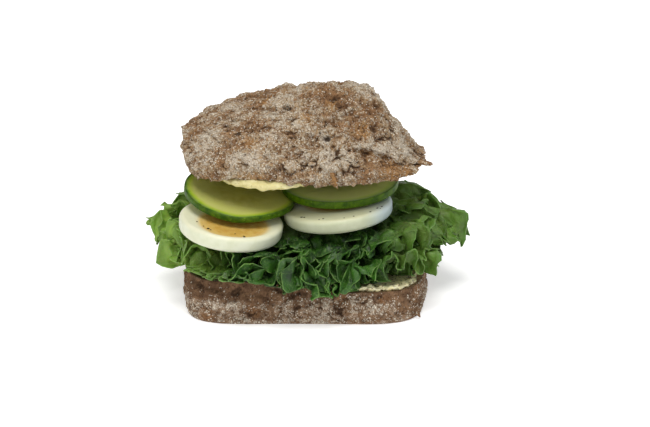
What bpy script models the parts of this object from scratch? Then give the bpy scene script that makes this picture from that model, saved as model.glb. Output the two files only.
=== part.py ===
"""Rustic rye roll filled with lettuce leaves, boiled egg and cucumber slices.

Metres, +Z up, +X to the right and -Y towards the front of the sandwich. The origin is the
centre of the flat base that the lower half of the roll stands on.
"""

import math
from collections import namedtuple

import bmesh
import bpy
from mathutils import Euler, Vector, noise

# Lower half of the roll
BASE_HALF_WIDTH = 0.0540
BASE_HALF_DEPTH = 0.0518
BASE_SQUARENESS = 5.4
BASE_UNEVENNESS = 0.0016
BASE_FOOT_INSET = 0.0014
BASE_CUT_HEIGHT = 0.0148
BASE_CUT_INSET = 0.0014

# The crust of the lower half stands up at the front left, outside the spread
RIM_RISE = 0.0050
RIM_RISE_ANGLE = math.radians(236)
RIM_RISE_START, RIM_RISE_END = 0.030, 0.056
RIM_SHARE, RIM_INNER_SHARE = 0.94, 0.88

# Upper half of the roll
LID_CENTRE_X, LID_CENTRE_Y = -0.0004, 0.0030
LID_HALF_WIDTH = 0.0550
LID_HALF_DEPTH = 0.0465
LID_SQUARENESS = 3.1
LID_UNEVENNESS = 0.0018
LID_CORNER_REACH = 0.0005
LID_CORNER_ANGLE = math.radians(-12)
LID_CORNER_WIDTH = 0.24
# The rear right corner is drawn in by this much
LID_REAR_CUT = 0.0050
LID_REAR_CUT_ANGLE = math.radians(34)
LID_REAR_CUT_WIDTH = 0.36
LID_CUT_HEIGHT = 0.0610
LID_CUT_INSET = 0.0026
LID_DOME_HEIGHT = 0.0341
LID_PEAK_X = 0.0150
LID_SLOPE_ANGLE = math.radians(14)
LID_BULGE_HEIGHT = 0.0080
LID_EDGE_CROWDING = 1.35
LID_LIP_CARRY = 0.7

# The dome's profile, on the blunt left side and in the long slope on the right
LID_FULLNESS = (1.12, 2.60)
LID_STEEPNESS = (0.70, 1.95)

# Crust relief
LUMP_SIZE, LUMP_HEIGHT = 0.0170, 0.0016
OUTLINE_LUMPINESS = 2.1
PLATE_SIZE, CRACK_DEPTH, CRACK_WIDTH = 0.0150, 0.0016, 0.22
CRACK_FADE, CRACK_FADE_START, CRACK_FADE_END = 0.8, 0.012, 0.030

# Spread on both cut faces
CLEARANCE = 0.0003
LOWER_SPREAD_THICKNESS = 0.0013
LOWER_SPREAD_INSET = 0.0052
LOWER_SPREAD_UNEVENNESS = 0.0022
SHOWS_ANGLE, SHOWS_WIDTH, SHOWS_INSET = math.radians(308), 0.55, 0.0008
SPREAD_LUMP_SIZE, SPREAD_LUMP_HEIGHT = 0.0090, 0.0003
UPPER_SPREAD_THICKNESS = 0.0012
UPPER_SPREAD_INSET = 0.0050
SPREAD_LIP_X, SPREAD_LIP_Y = -0.0190, -0.0400
SPREAD_LIP_REACH, SPREAD_LIP_DEPTH, SPREAD_LIP_HEIGHT = 0.0210, 0.0160, 0.0024
SPREAD_LIP_SAG, SPREAD_LIP_OUT = 0.0006, 0.0008

# Lettuce
LEAF_THICKNESS = 0.0010
LEAF_FLOOR = BASE_CUT_HEIGHT + LOWER_SPREAD_THICKNESS + 2.6 * CLEARANCE
ROOF_CAP, ROOF_RISE = 0.0450, 0.25
ROOF_FALL_START, ROOF_FALL = 0.0080, 0.25
LEAF_INNER_SHARE = 0.05
LEAF_SQUARENESS = 2.7
LEAF_SEAM = 0.0005
LEAF_COLUMNS = 84
LEAF_ROWS = (0.0, 0.42, 0.70, 0.87, 1.0)
RUFFLES = 21
RUFFLE_SWAY = 2.4
RUFFLE_SHARE = 0.70
RUFFLE_START, RUFFLE_END = 0.1, 0.9
EDGE_SCALLOP = 0.0022
EDGE_UNEVENNESS = 0.0040

# Resolution
DOME_CELLS = 22
BREAD_SEGMENTS = 64
SPREAD_SEGMENTS = 32
CUCUMBER_SEGMENTS = 32
EGG_SEGMENTS = 32
YOLK_SEGMENTS = 24

# A round slice: the centre of its mid plane, its radii, its thickness, and its lean. A positive
# tilt lowers the front edge and a positive roll lowers the right edge, both in degrees. The
# twist flattens out the tilt towards the right edge, where the slice lies on its neighbour.
Slice = namedtuple("Slice", "name x y z radius_x radius_y thickness tilt roll twist")

EGG_SLICES = (
    Slice("front_left", -0.0326, -0.0330, 0.0398, 0.0232, 0.0228, 0.0072, 4.5, 6.5, 0.0),
    Slice("front_right", 0.0145, -0.0220, 0.0432, 0.0245, 0.0240, 0.0066, 0.5, -6.0, 0.0),
    Slice("rear_left", -0.0250, 0.0300, 0.0475, 0.0215, 0.0220, 0.0070, -6.0, 1.5, 0.0),
    Slice("rear_right", 0.0245, 0.0330, 0.0460, 0.0225, 0.0215, 0.0068, -3.0, -2.0, 0.0),
)
CUCUMBER_SLICES = (
    Slice("front_left", -0.0290, -0.0195, 0.0499, 0.0248, 0.0248, 0.0028, 9.5, 9.0, 5.8),
    Slice("front_right", 0.0155, -0.0100, 0.0517, 0.0260, 0.0258, 0.0034, 4.0, -2.5, 0.0),
    Slice("rear_left", -0.0235, 0.0270, 0.0560, 0.0240, 0.0240, 0.0030, -4.0, 0.5, 0.0),
    Slice("rear_right", 0.0246, 0.0275, 0.0566, 0.0224, 0.0226, 0.0030, -2.2, -0.6, 0.0),
)
YOLK_RADIUS = 0.0140
YOLK_OFFSETS = {
    "front_left": (0.0010, -0.0060),
    "front_right": (0.0000, 0.0050),
    "rear_left": (-0.0015, 0.0030),
    "rear_right": (0.0010, 0.0035),
}
EGG_EDGE_ROUND = 0.0010
YOLK_EDGE_ROUND = 0.0003
CUCUMBER_EDGE_ROUND = 0.0004

# A layer of lettuce: its share of the height between bread and roof, how far its edge reaches
# past the roll at the front, the rear and its right and left tongue, how far it draws back at
# the front right, how far its edge droops, and how much its ruffles grow once they are clear
# of the other layer.
Layer = namedtuple("Layer", "name share front rear right left reveal droop growth")

LAYERS = (
    Layer("low", 0.23, 0.0090, 0.0060, 0.0040, 0.0040, 0.0120, 0.0045, 0.0),
    Layer("high", 0.73, 0.0065, 0.0030, 0.0200, 0.0165, 0.0, 0.0130, 0.0045),
)
TONGUE_NARROWNESS = 6
REVEAL_WIDTH = 0.45
HANG_FRONT, HANG_TO_LEFT, HANG_TO_REAR = 0.85, 0.40, 0.50
DROOP_START, DROOP_END = 0.001, 0.020
GROWTH_START, GROWTH_END = 0.0085, 0.0185

CRUST = ("crust", (0.30, 0.19, 0.11), 0.95)
SPREAD = ("spread", (0.80, 0.74, 0.48), 0.45)
LETTUCE = ("lettuce", (0.16, 0.34, 0.06), 0.50)
EGG_WHITE = ("egg_white", (0.86, 0.86, 0.76), 0.35)
EGG_YOLK = ("egg_yolk", (0.85, 0.55, 0.12), 0.55)
CUCUMBER = ("cucumber", (0.50, 0.58, 0.22), 0.35)


def smoothstep(low, high, value):
    """0 below low, 1 above high, and a smooth rise between them."""
    share = min(max((value - low) / (high - low), 0.0), 1.0)
    return share * share * (3 - 2 * share)


def blend(first, second, share):
    return first + (second - first) * share


def rounded_square(angle, half_width, half_depth, squareness):
    """Distance from the centre to a rounded square's edge in the direction of angle."""
    across = abs(math.cos(angle)) / half_width
    along = abs(math.sin(angle)) / half_depth
    return (across**squareness + along**squareness) ** (-1 / squareness)


def uneven(angle, seed, size):
    """A slow change round an outline, the same at 0 and 360 degrees."""
    place = OUTLINE_LUMPINESS * Vector((math.cos(angle), math.sin(angle), 0.0))
    return size * noise.noise(place + Vector((0.0, 0.0, seed)))


def crust_relief(point):
    """Height of the crust's lumps and the depth of the cracks, which fade out on the right."""
    lumps = LUMP_HEIGHT * noise.noise(point / LUMP_SIZE)
    nearest = noise.voronoi(point / PLATE_SIZE)[0]
    crack = 1 - smoothstep(0.0, CRACK_WIDTH, nearest[1] - nearest[0])
    crack *= 1 - CRACK_FADE * smoothstep(CRACK_FADE_START, CRACK_FADE_END, point.x)
    return lumps - CRACK_DEPTH * crack


def base_radius(angle):
    outline = rounded_square(angle, BASE_HALF_WIDTH, BASE_HALF_DEPTH, BASE_SQUARENESS)
    return outline + uneven(angle, 3.0, BASE_UNEVENNESS)


def near_angle(angle, middle, width):
    """1 in one direction from the middle, falling to 0 on both sides of it."""
    turn = (angle - middle + math.pi) % (2 * math.pi) - math.pi
    return math.exp(-((turn / width) ** 2))


def lid_radius(angle):
    corner = LID_CORNER_REACH * near_angle(angle, LID_CORNER_ANGLE, LID_CORNER_WIDTH)
    corner -= LID_REAR_CUT * near_angle(angle, LID_REAR_CUT_ANGLE, LID_REAR_CUT_WIDTH)
    outline = rounded_square(angle, LID_HALF_WIDTH, LID_HALF_DEPTH, LID_SQUARENESS)
    return outline + corner + uneven(angle, 8.0, LID_UNEVENNESS)


def rim_rise(x, y):
    """How far the crust's edge stands up at this place of the rim."""
    towards = math.cos(RIM_RISE_ANGLE) * x + math.sin(RIM_RISE_ANGLE) * y
    return RIM_RISE * smoothstep(RIM_RISE_START, RIM_RISE_END, towards)


def lip_share(x, y):
    """1 where the upper spread bulges out at the front, falling to 0 away from it."""
    across = (x - SPREAD_LIP_X) / SPREAD_LIP_REACH
    along = (y - SPREAD_LIP_Y) / SPREAD_LIP_DEPTH
    return 1 - smoothstep(0.3, 1.2, math.hypot(across, along))


def lid_cut_height(x, y):
    """The upper cut face, raised where the spread shows under the rim."""
    return LID_CUT_HEIGHT + SPREAD_LIP_HEIGHT * lip_share(x, y)


def lid_slope(angle):
    """1 towards the corner on the right, where the dome runs out thin, and 0 to the left."""
    return smoothstep(0.0, 0.9, math.cos(angle - LID_SLOPE_ANGLE))


def lid_bulge(angle):
    """Height of the widest level of the upper half above its cut face."""
    return LID_BULGE_HEIGHT * (1 - 0.9 * lid_slope(angle))


def lid_dome_share(share, angle):
    """Height of the dome as a share of its greatest, by the distance out from its peak.

    It is blunt on the left and runs down in a long slope to the corner on the right.
    """
    slope = lid_slope(angle)
    fullness = blend(*LID_FULLNESS, slope)
    steepness = blend(*LID_STEEPNESS, slope)
    return max(0.0, 1 - share**fullness) ** steepness


def angles(count):
    return [2 * math.pi * i / count for i in range(count)]


def material(look):
    name, colour, roughness = look
    found = bpy.data.materials.get(name)
    if found:
        return found
    made = bpy.data.materials.new(name)
    made.use_nodes = True
    shader = made.node_tree.nodes["Principled BSDF"]
    shader.inputs["Base Color"].default_value = (*colour, 1.0)
    shader.inputs["Roughness"].default_value = roughness
    shader.inputs["Metallic"].default_value = 0.0
    return made


def link_mesh(name, body, look):
    """Makes one named object from the bmesh, in triangles, with its faces pointing out."""
    bmesh.ops.triangulate(body, faces=body.faces)
    bmesh.ops.recalc_face_normals(body, faces=body.faces)
    mesh = bpy.data.meshes.new(name)
    body.to_mesh(mesh)
    body.free()
    mesh.shade_smooth()
    mesh.set_sharp_from_angle(angle=math.radians(40))
    mesh.materials.append(material(look))
    made = bpy.data.objects.new(name, mesh)
    bpy.context.scene.collection.objects.link(made)
    return made


def bridge(body, rings):
    """Quads between each ring of vertices and the next one."""
    for lower, upper in zip(rings, rings[1:]):
        for i in range(len(lower)):
            j = (i + 1) % len(lower)
            body.faces.new((lower[i], lower[j], upper[j], upper[i]))


def cap(body, row, pole):
    """A fan of triangles between a ring of vertices and a point."""
    centre = body.verts.new(pole)
    for i in range(len(row)):
        body.faces.new((row[i], row[(i + 1) % len(row)], centre))


def turned_solid(name, bottom, rings, top, look):
    """A closed body from a bottom point, rings of equal length and a top point."""
    body = bmesh.new()
    rows = [[body.verts.new(point) for point in ring] for ring in rings]
    bridge(body, rows)
    cap(body, rows[0], bottom)
    cap(body, rows[-1], top)
    return link_mesh(name, body, look)


def ring_solid(name, rings, look):
    """A closed body with a hole through it, from rings that run round its section."""
    body = bmesh.new()
    rows = [[body.verts.new(point) for point in ring] for ring in rings]
    bridge(body, [*rows, rows[0]])
    return link_mesh(name, body, look)


def disc_place(across, along):
    """Share of a disc's radius and angle for a place on the square from -1 to 1.

    The square's outlines become the disc's circles, so a grid covers the disc evenly.
    """
    if abs(across) > abs(along):
        turn = 0.0 if across > 0 else math.pi
        return abs(across), turn + math.pi / 4 * along / across
    if along == 0:
        return 0.0, 0.0
    turn = math.pi / 2 if along > 0 else -math.pi / 2
    return abs(along), turn - math.pi / 4 * across / along


def square_outline(cells):
    """Places of a square grid's outline, once round."""
    run = range(cells)
    sides = [[(i, 0) for i in run], [(cells, i) for i in run]]
    sides += [[(cells - i, cells) for i in run], [(0, cells - i) for i in run]]
    return [place for side in sides for place in side]


def relieved(point, centre, amount):
    """The point moved out from centre by the crust's relief there."""
    return point + (point - centre).normalized() * crust_relief(point) * amount


def make_base():
    """Lower half: a flat foot, a rounded floury side and the cut face."""
    # Inset from the outline, share of the height, and how much of the relief the ring takes.
    profile = (
        (BASE_FOOT_INSET, 0.0, 0.0),
        (0.0006, 0.06, 0.3),
        (0.0002, 0.20, 0.8),
        (0.0000, 0.42, 1.0),
        (0.0002, 0.64, 1.0),
        (0.0006, 0.84, 0.8),
        (BASE_CUT_INSET, 1.0, 0.0),
    )
    middle = Vector((0, 0, BASE_CUT_HEIGHT / 2))
    rings = []
    for inset, share, amount in profile:
        ring = []
        for angle in angles(BREAD_SEGMENTS):
            radius = base_radius(angle) - inset
            x, y = radius * math.cos(angle), radius * math.sin(angle)
            height = share * (BASE_CUT_HEIGHT + rim_rise(x, y))
            ring.append(relieved(Vector((x, y, height)), middle, amount))
        rings.append(ring)
    for share, rise in ((RIM_SHARE, 0.75), (RIM_INNER_SHARE, 0.0), (0.50, 0.0)):
        ring = []
        for angle in angles(BREAD_SEGMENTS):
            radius = share * (base_radius(angle) - BASE_CUT_INSET)
            x, y = radius * math.cos(angle), radius * math.sin(angle)
            ring.append(Vector((x, y, BASE_CUT_HEIGHT + rise * rim_rise(x, y))))
        rings.append(ring)
    top = Vector((0, 0, BASE_CUT_HEIGHT))
    return turned_solid("bread_lower", Vector((0, 0, 0)), rings, top, CRUST)


def lid_point(angle, radius, height, inwards=0.0):
    """A point of the upper half. inwards moves it from its outline's centre to its peak."""
    x = radius * math.cos(angle) + LID_CENTRE_X + inwards * LID_PEAK_X
    y = radius * math.sin(angle) + LID_CENTRE_Y
    return Vector((x, y, height))


def dome_point(share, angle, middle):
    bulge = lid_bulge(angle)
    height = bulge + (LID_DOME_HEIGHT - bulge) * lid_dome_share(share, angle)
    point = lid_point(angle, share * lid_radius(angle), LID_CUT_HEIGHT + height, 1 - share)
    lift = SPREAD_LIP_HEIGHT * lip_share(point.x, point.y)
    point.z += LID_LIP_CARRY * lift * smoothstep(0.9, 1.0, share)
    return relieved(point, middle, 1.0)


def make_lid():
    """Upper half: a craggy dome over an overhanging rim and the cut face below."""
    middle = Vector((LID_PEAK_X, LID_CENTRE_Y, LID_CUT_HEIGHT + LID_BULGE_HEIGHT / 2))
    body = bmesh.new()
    grid = []
    for row in range(DOME_CELLS + 1):
        line = []
        for column in range(DOME_CELLS + 1):
            place = disc_place(2 * column / DOME_CELLS - 1, 2 * row / DOME_CELLS - 1)
            share = 1 - (1 - place[0]) ** LID_EDGE_CROWDING
            line.append(body.verts.new(dome_point(share, place[1], middle)))
        grid.append(line)
    for lower, upper in zip(grid, grid[1:]):
        for i in range(DOME_CELLS):
            body.faces.new((lower[i], lower[i + 1], upper[i + 1], upper[i]))
    outline = square_outline(DOME_CELLS)
    turns = [disc_place(2 * i / DOME_CELLS - 1, 2 * j / DOME_CELLS - 1)[1] for i, j in outline]
    under = []
    for angle in turns:
        radius = lid_radius(angle) - 0.3 * LID_CUT_INSET
        point = lid_point(angle, radius, LID_CUT_HEIGHT + lid_bulge(angle) / 3)
        point.z += LID_LIP_CARRY * SPREAD_LIP_HEIGHT * lip_share(point.x, point.y)
        under.append(relieved(point, middle, 0.5))
    rings = [under]
    for share in (1.0, 0.84, 0.50):
        ring = []
        for angle in turns:
            point = lid_point(angle, share * (lid_radius(angle) - LID_CUT_INSET), 0.0)
            point.z = lid_cut_height(point.x, point.y)
            ring.append(point)
        rings.append(ring)
    rows = [[grid[j][i] for i, j in outline]]
    rows += [[body.verts.new(point) for point in ring] for ring in rings]
    bridge(body, rows)
    cap(body, rows[-1], lid_point(0, 0, lid_cut_height(0, LID_CENTRE_Y)))
    return link_mesh("bread_upper", body, CRUST)


def layer_solid(name, outline, lower_height, upper_height, look):
    """A thin layer between two height functions, with a rounded edge."""
    rings = []
    for share, upper in ((0.55, False), (0.93, False), (1.0, None), (0.93, True), (0.55, True)):
        ring = []
        for angle in angles(SPREAD_SEGMENTS):
            x, y = (share * axis for axis in outline(angle))
            low, high = lower_height(x, y), upper_height(x, y)
            height = (low + high) / 2 if upper is None else high if upper else low
            ring.append(Vector((x, y, height)))
        rings.append(ring)
    bottom = Vector((0, 0, lower_height(0, 0)))
    top = Vector((0, 0, upper_height(0, 0)))
    return turned_solid(name, bottom, rings, top, look)


def lower_spread_outline(angle):
    """Close to the rim at the front right, where it shows, and further in elsewhere."""
    shows = math.exp(-(((angle - SHOWS_ANGLE) / SHOWS_WIDTH) ** 2))
    rim = base_radius(angle) - BASE_CUT_INSET
    rise = rim_rise(rim * math.cos(angle), rim * math.sin(angle))
    inset = blend(LOWER_SPREAD_INSET, SHOWS_INSET, shows) + rise
    radius = rim - inset + uneven(angle, 5.0, LOWER_SPREAD_UNEVENNESS) * (1 - shows)
    return radius * math.cos(angle), radius * math.sin(angle)


def lower_spread_top(x, y):
    lumps = SPREAD_LUMP_HEIGHT * noise.noise(Vector((x, y, 0.05)) / SPREAD_LUMP_SIZE)
    return BASE_CUT_HEIGHT + CLEARANCE + LOWER_SPREAD_THICKNESS + lumps


def upper_spread_outline(angle):
    """Level with the rim at the front left, where it bulges out, and further in elsewhere."""
    rim = lid_radius(angle) - LID_CUT_INSET
    edge = lid_point(angle, rim, 0.0)
    reach = blend(-UPPER_SPREAD_INSET, SPREAD_LIP_OUT, lip_share(edge.x, edge.y))
    return lid_point(angle, rim + reach, 0.0).xy


def upper_spread_bottom(x, y):
    sag = SPREAD_LIP_SAG * lip_share(x, y)
    return LID_CUT_HEIGHT - CLEARANCE - UPPER_SPREAD_THICKNESS - sag


def make_spreads():
    layer_solid(
        "spread_lower",
        lower_spread_outline,
        lambda x, y: BASE_CUT_HEIGHT + CLEARANCE,
        lower_spread_top,
        SPREAD,
    )
    layer_solid(
        "spread_upper",
        upper_spread_outline,
        upper_spread_bottom,
        lambda x, y: lid_cut_height(x, y) - 2 * CLEARANCE,
        SPREAD,
    )


def lean_of(part):
    """The slice's rotation."""
    return Euler((math.radians(part.tilt), math.radians(part.roll), 0.0))


def place(made, part):
    made.location = (part.x, part.y, part.z)
    made.rotation_euler = lean_of(part)


def ellipse_ring(count, radius_x, radius_y, height, centre=(0.0, 0.0)):
    return [
        Vector((centre[0] + radius_x * math.cos(a), centre[1] + radius_y * math.sin(a), height))
        for a in angles(count)
    ]


def disc_rings(count, radius_x, radius_y, thickness, edge_round, centre=(0.0, 0.0)):
    """Rings of a flat disc with a rounded edge, from its lower face to its upper one."""
    half = thickness / 2
    levels = ((edge_round, -half), (0, edge_round - half), (0, half - edge_round), (edge_round, half))
    return [
        ellipse_ring(count, radius_x - inset, radius_y - inset, height, centre)
        for inset, height in levels
    ]


def make_cucumber(part):
    rings = disc_rings(
        CUCUMBER_SEGMENTS, part.radius_x, part.radius_y, part.thickness, CUCUMBER_EDGE_ROUND
    )
    for point in (point for ring in rings for point in ring):
        point.z -= part.twist * max(0.0, point.x) * point.y
    half = Vector((0, 0, part.thickness / 2))
    place(turned_solid("cucumber_" + part.name, -half, rings, half, CUCUMBER), part)


def make_egg(part):
    """A white ring round a yolk, with a hair's gap between them."""
    centre = YOLK_OFFSETS[part.name]
    half = part.thickness / 2
    outer = disc_rings(
        EGG_SEGMENTS, part.radius_x, part.radius_y, part.thickness, EGG_EDGE_ROUND
    )
    hole = YOLK_RADIUS + CLEARANCE
    inner = [ellipse_ring(EGG_SEGMENTS, hole, hole, z, centre) for z in (half, -half)]
    place(ring_solid("egg_white_" + part.name, outer + inner, EGG_WHITE), part)
    yolk = disc_rings(YOLK_SEGMENTS, YOLK_RADIUS, YOLK_RADIUS, part.thickness, YOLK_EDGE_ROUND, centre)
    ends = [Vector((*centre, z)) for z in (-half, half)]
    place(turned_solid("egg_yolk_" + part.name, ends[0], yolk, ends[1], EGG_YOLK), part)


def underside(part, x, y):
    """Height under a slice at a place, rising gently once clear of the slice."""
    normal = Vector((0, 0, 1))
    normal.rotate(lean_of(part))
    dx, dy = x - part.x, y - part.y
    plane = part.z - (normal.x * dx + normal.y * dy) / normal.z
    beyond = max(0.0, math.hypot(dx / part.radius_x, dy / part.radius_y) - 1) * part.radius_x
    return plane - part.thickness / 2 / normal.z - 2 * CLEARANCE + ROOF_RISE * beyond


def roof(x, y):
    """Height that the lettuce may reach: just under the slices that lie on it."""
    cap = ROOF_CAP - ROOF_FALL * max(0.0, y - ROOF_FALL_START)
    return min([cap] + [underside(part, x, y) for part in EGG_SLICES + CUCUMBER_SLICES])


def floor(x, y):
    """Height that the lettuce lies on, rising early to clear the crust's raised edge."""
    angle = math.atan2(y, x)
    rim = base_radius(angle)
    rise = rim_rise(rim * math.cos(angle), rim * math.sin(angle))
    return LEAF_FLOOR + rise * smoothstep(0.60, 0.86, math.hypot(x, y) / rim)


def layer_reach(layer, angle):
    """How far the layer's edge stands out past the roll in a direction."""
    side = layer.right if math.cos(angle) > 0 else layer.left
    end = blend(layer.front, layer.rear, smoothstep(-0.5, 0.5, math.sin(angle)))
    tongue = abs(math.cos(angle)) ** TONGUE_NARROWNESS
    turn = (angle - SHOWS_ANGLE + math.pi) % (2 * math.pi) - math.pi
    drawn_back = layer.reveal * math.exp(-((turn / REVEAL_WIDTH) ** 2))
    return blend(end, side, tongue) - drawn_back


def leaf_point(layer, angle, share, seam=0.0):
    """A point of a leaf's mid surface. share runs from 0 inside the sandwich to 1 at the edge."""
    seed = 10.0 * layer.share
    roll_edge = rounded_square(angle, BASE_HALF_WIDTH, BASE_HALF_DEPTH, LEAF_SQUARENESS)
    swing = 2 * RUFFLES * angle + RUFFLE_SWAY * noise.noise(Vector((3 * angle, seed, 0.0)))
    scallop = EDGE_SCALLOP * math.sin(0.5 * swing + seed) * smoothstep(0.6, 1.0, share)
    outer = roll_edge + layer_reach(layer, angle) + uneven(angle, seed, EDGE_UNEVENNESS) + scallop
    inner = LEAF_INNER_SHARE * roll_edge
    radius = inner + (outer - inner) * share
    turned = angle + seam / radius
    x, y = radius * math.cos(turned), radius * math.sin(turned)
    past = radius - roll_edge
    height = roof(x, y) - floor(x, y)
    room = height / 4 - LEAF_THICKNESS - 2 * CLEARANCE
    ruffle = RUFFLE_SHARE * room * smoothstep(RUFFLE_START, RUFFLE_END, share)
    ruffle += layer.growth * smoothstep(GROWTH_START, GROWTH_END, past)
    hang = HANG_FRONT - HANG_TO_LEFT * math.cos(angle) + HANG_TO_REAR * max(0.0, math.sin(angle))
    droop = layer.droop * hang * smoothstep(DROOP_START, DROOP_END, past)
    return Vector((x, y, floor(x, y) + layer.share * height + ruffle * math.sin(swing) - droop))


def leaf_normals(grid):
    """Unit normals of a grid of points, from its neighbours along both directions."""
    last_row, last_column = len(grid) - 1, len(grid[0]) - 1
    normals = []
    for r, row in enumerate(grid):
        line = []
        for c in range(len(row)):
            along = row[min(c + 1, last_column)] - row[max(c - 1, 0)]
            out = grid[min(r + 1, last_row)][c] - grid[max(r - 1, 0)][c]
            line.append(out.cross(along).normalized())
        normals.append(line)
    return normals


def make_leaf(layer, side, start):
    """A half round leaf of one layer, as a thin wavy solid with both faces split alike."""
    columns = [i / LEAF_COLUMNS for i in range(LEAF_COLUMNS + 1)]
    grid = [
        [leaf_point(layer, start + math.pi * t, share, LEAF_SEAM * (1 - 2 * t)) for t in columns]
        for share in LEAF_ROWS
    ]
    normals = leaf_normals(grid)
    half = LEAF_THICKNESS / 2
    body = bmesh.new()
    faces = [
        [
            [body.verts.new(p + n * half * way) for p, n in zip(row, line)]
            for row, line in zip(grid, normals)
        ]
        for way in (1, -1)
    ]
    rows, columns = len(LEAF_ROWS) - 1, LEAF_COLUMNS
    for face in faces:
        for r in range(rows):
            for c in range(columns):
                corners = face[r][c], face[r][c + 1], face[r + 1][c + 1], face[r + 1][c]
                body.faces.new(corners[:3])
                body.faces.new((corners[0], corners[2], corners[3]))
    rim = [(0, c) for c in range(columns)] + [(r, columns) for r in range(rows)]
    rim += [(rows, c) for c in range(columns, 0, -1)] + [(r, 0) for r in range(rows, 0, -1)]
    upper, lower = faces
    for (r, c), (s, d) in zip(rim, rim[1:] + rim[:1]):
        body.faces.new((upper[r][c], upper[s][d], lower[s][d], lower[r][c]))
    link_mesh(f"lettuce_{layer.name}_{side}", body, LETTUCE)


def make_lettuce():
    """Two leaves to a layer, with the seam of one layer across that of the other."""
    low, high = LAYERS
    make_leaf(low, "rear", 0.0)
    make_leaf(low, "front", math.pi)
    make_leaf(high, "left", math.pi / 2)
    make_leaf(high, "right", 3 * math.pi / 2)


def main():
    for old in list(bpy.data.objects):
        bpy.data.objects.remove(old)
    make_base()
    make_spreads()
    make_lettuce()
    for part in EGG_SLICES:
        make_egg(part)
    for part in CUCUMBER_SLICES:
        make_cucumber(part)
    make_lid()


main()
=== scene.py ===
"""The looks of the egg and cucumber sandwich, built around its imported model.

Metres, in the model's own frame: +Z up, +X to the right, -Y towards the front. The pieces follow
the forms of the solids that they replace, with finer relief, frills and their own finish.
"""

import math
from collections import namedtuple

import bmesh
import bpy
import numpy as np
from mathutils import Euler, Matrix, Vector, noise


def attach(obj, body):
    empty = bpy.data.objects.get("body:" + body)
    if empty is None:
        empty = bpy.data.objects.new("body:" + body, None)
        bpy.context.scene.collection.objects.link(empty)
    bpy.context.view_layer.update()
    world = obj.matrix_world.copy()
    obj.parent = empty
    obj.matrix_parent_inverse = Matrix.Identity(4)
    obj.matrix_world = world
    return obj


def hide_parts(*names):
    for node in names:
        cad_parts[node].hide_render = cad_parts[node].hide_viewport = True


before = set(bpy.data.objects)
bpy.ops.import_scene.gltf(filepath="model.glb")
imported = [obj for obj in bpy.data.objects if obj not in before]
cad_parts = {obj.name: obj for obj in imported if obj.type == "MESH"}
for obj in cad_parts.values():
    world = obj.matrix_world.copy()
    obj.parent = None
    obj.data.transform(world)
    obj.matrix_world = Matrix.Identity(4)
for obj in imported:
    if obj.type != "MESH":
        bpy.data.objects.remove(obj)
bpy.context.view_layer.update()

# Noise vectors take their offsets from a seed, which would otherwise be the time
noise.seed_set(1)

MM = 0.001

# Forms of the solids

BASE_HALF_WIDTH = 0.0540
BASE_HALF_DEPTH = 0.0518
BASE_SQUARENESS = 5.4
BASE_UNEVENNESS = 0.0016
BASE_FOOT_INSET = 0.0014
BASE_CUT_HEIGHT = 0.0148
BASE_CUT_INSET = 0.0014
RIM_RISE = 0.0050
RIM_RISE_ANGLE = math.radians(236)
RIM_RISE_START, RIM_RISE_END = 0.030, 0.056
RIM_SHARE, RIM_INNER_SHARE = 0.94, 0.88

LID_CENTRE_X, LID_CENTRE_Y = -0.0004, 0.0030
LID_HALF_WIDTH = 0.0550
LID_HALF_DEPTH = 0.0465
LID_SQUARENESS = 3.1
LID_UNEVENNESS = 0.0018
LID_CORNER_REACH = 0.0005
LID_CORNER_ANGLE = math.radians(-12)
LID_CORNER_WIDTH = 0.24
LID_REAR_CUT = 0.0050
LID_REAR_CUT_ANGLE = math.radians(34)
LID_REAR_CUT_WIDTH = 0.36
LID_CUT_HEIGHT = 0.0610
LID_CUT_INSET = 0.0026
LID_DOME_HEIGHT = 0.0341
LID_PEAK_X = 0.0150
LID_SLOPE_ANGLE = math.radians(14)
LID_BULGE_HEIGHT = 0.0080
LID_EDGE_CROWDING = 1.35
LID_LIP_CARRY = 0.7
LID_FULLNESS = (1.12, 2.60)
LID_STEEPNESS = (0.70, 1.95)

LUMP_SIZE, LUMP_HEIGHT = 0.0170, 0.0016
OUTLINE_LUMPINESS = 2.1
PLATE_SIZE, CRACK_DEPTH, CRACK_WIDTH = 0.0150, 0.0016, 0.22
CRACK_FADE, CRACK_FADE_START, CRACK_FADE_END = 0.8, 0.012, 0.030

CLEARANCE = 0.0003
LOWER_SPREAD_THICKNESS = 0.0013
LOWER_SPREAD_INSET = 0.0052
LOWER_SPREAD_UNEVENNESS = 0.0022
SHOWS_ANGLE, SHOWS_WIDTH, SHOWS_INSET = math.radians(308), 0.55, 0.0008
SPREAD_LUMP_SIZE, SPREAD_LUMP_HEIGHT = 0.0090, 0.0003
UPPER_SPREAD_THICKNESS = 0.0012
UPPER_SPREAD_INSET = 0.0050
SPREAD_LIP_X, SPREAD_LIP_Y = -0.0190, -0.0400
SPREAD_LIP_REACH, SPREAD_LIP_DEPTH, SPREAD_LIP_HEIGHT = 0.0210, 0.0160, 0.0024
SPREAD_LIP_SAG, SPREAD_LIP_OUT = 0.0006, 0.0008

LEAF_FLOOR = BASE_CUT_HEIGHT + LOWER_SPREAD_THICKNESS + 2.6 * CLEARANCE
ROOF_CAP, ROOF_RISE = 0.0450, 0.25
ROOF_FALL_START, ROOF_FALL = 0.0080, 0.25
LEAF_INNER_SHARE = 0.05
LEAF_SQUARENESS = 2.7
EDGE_UNEVENNESS = 0.0040

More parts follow.
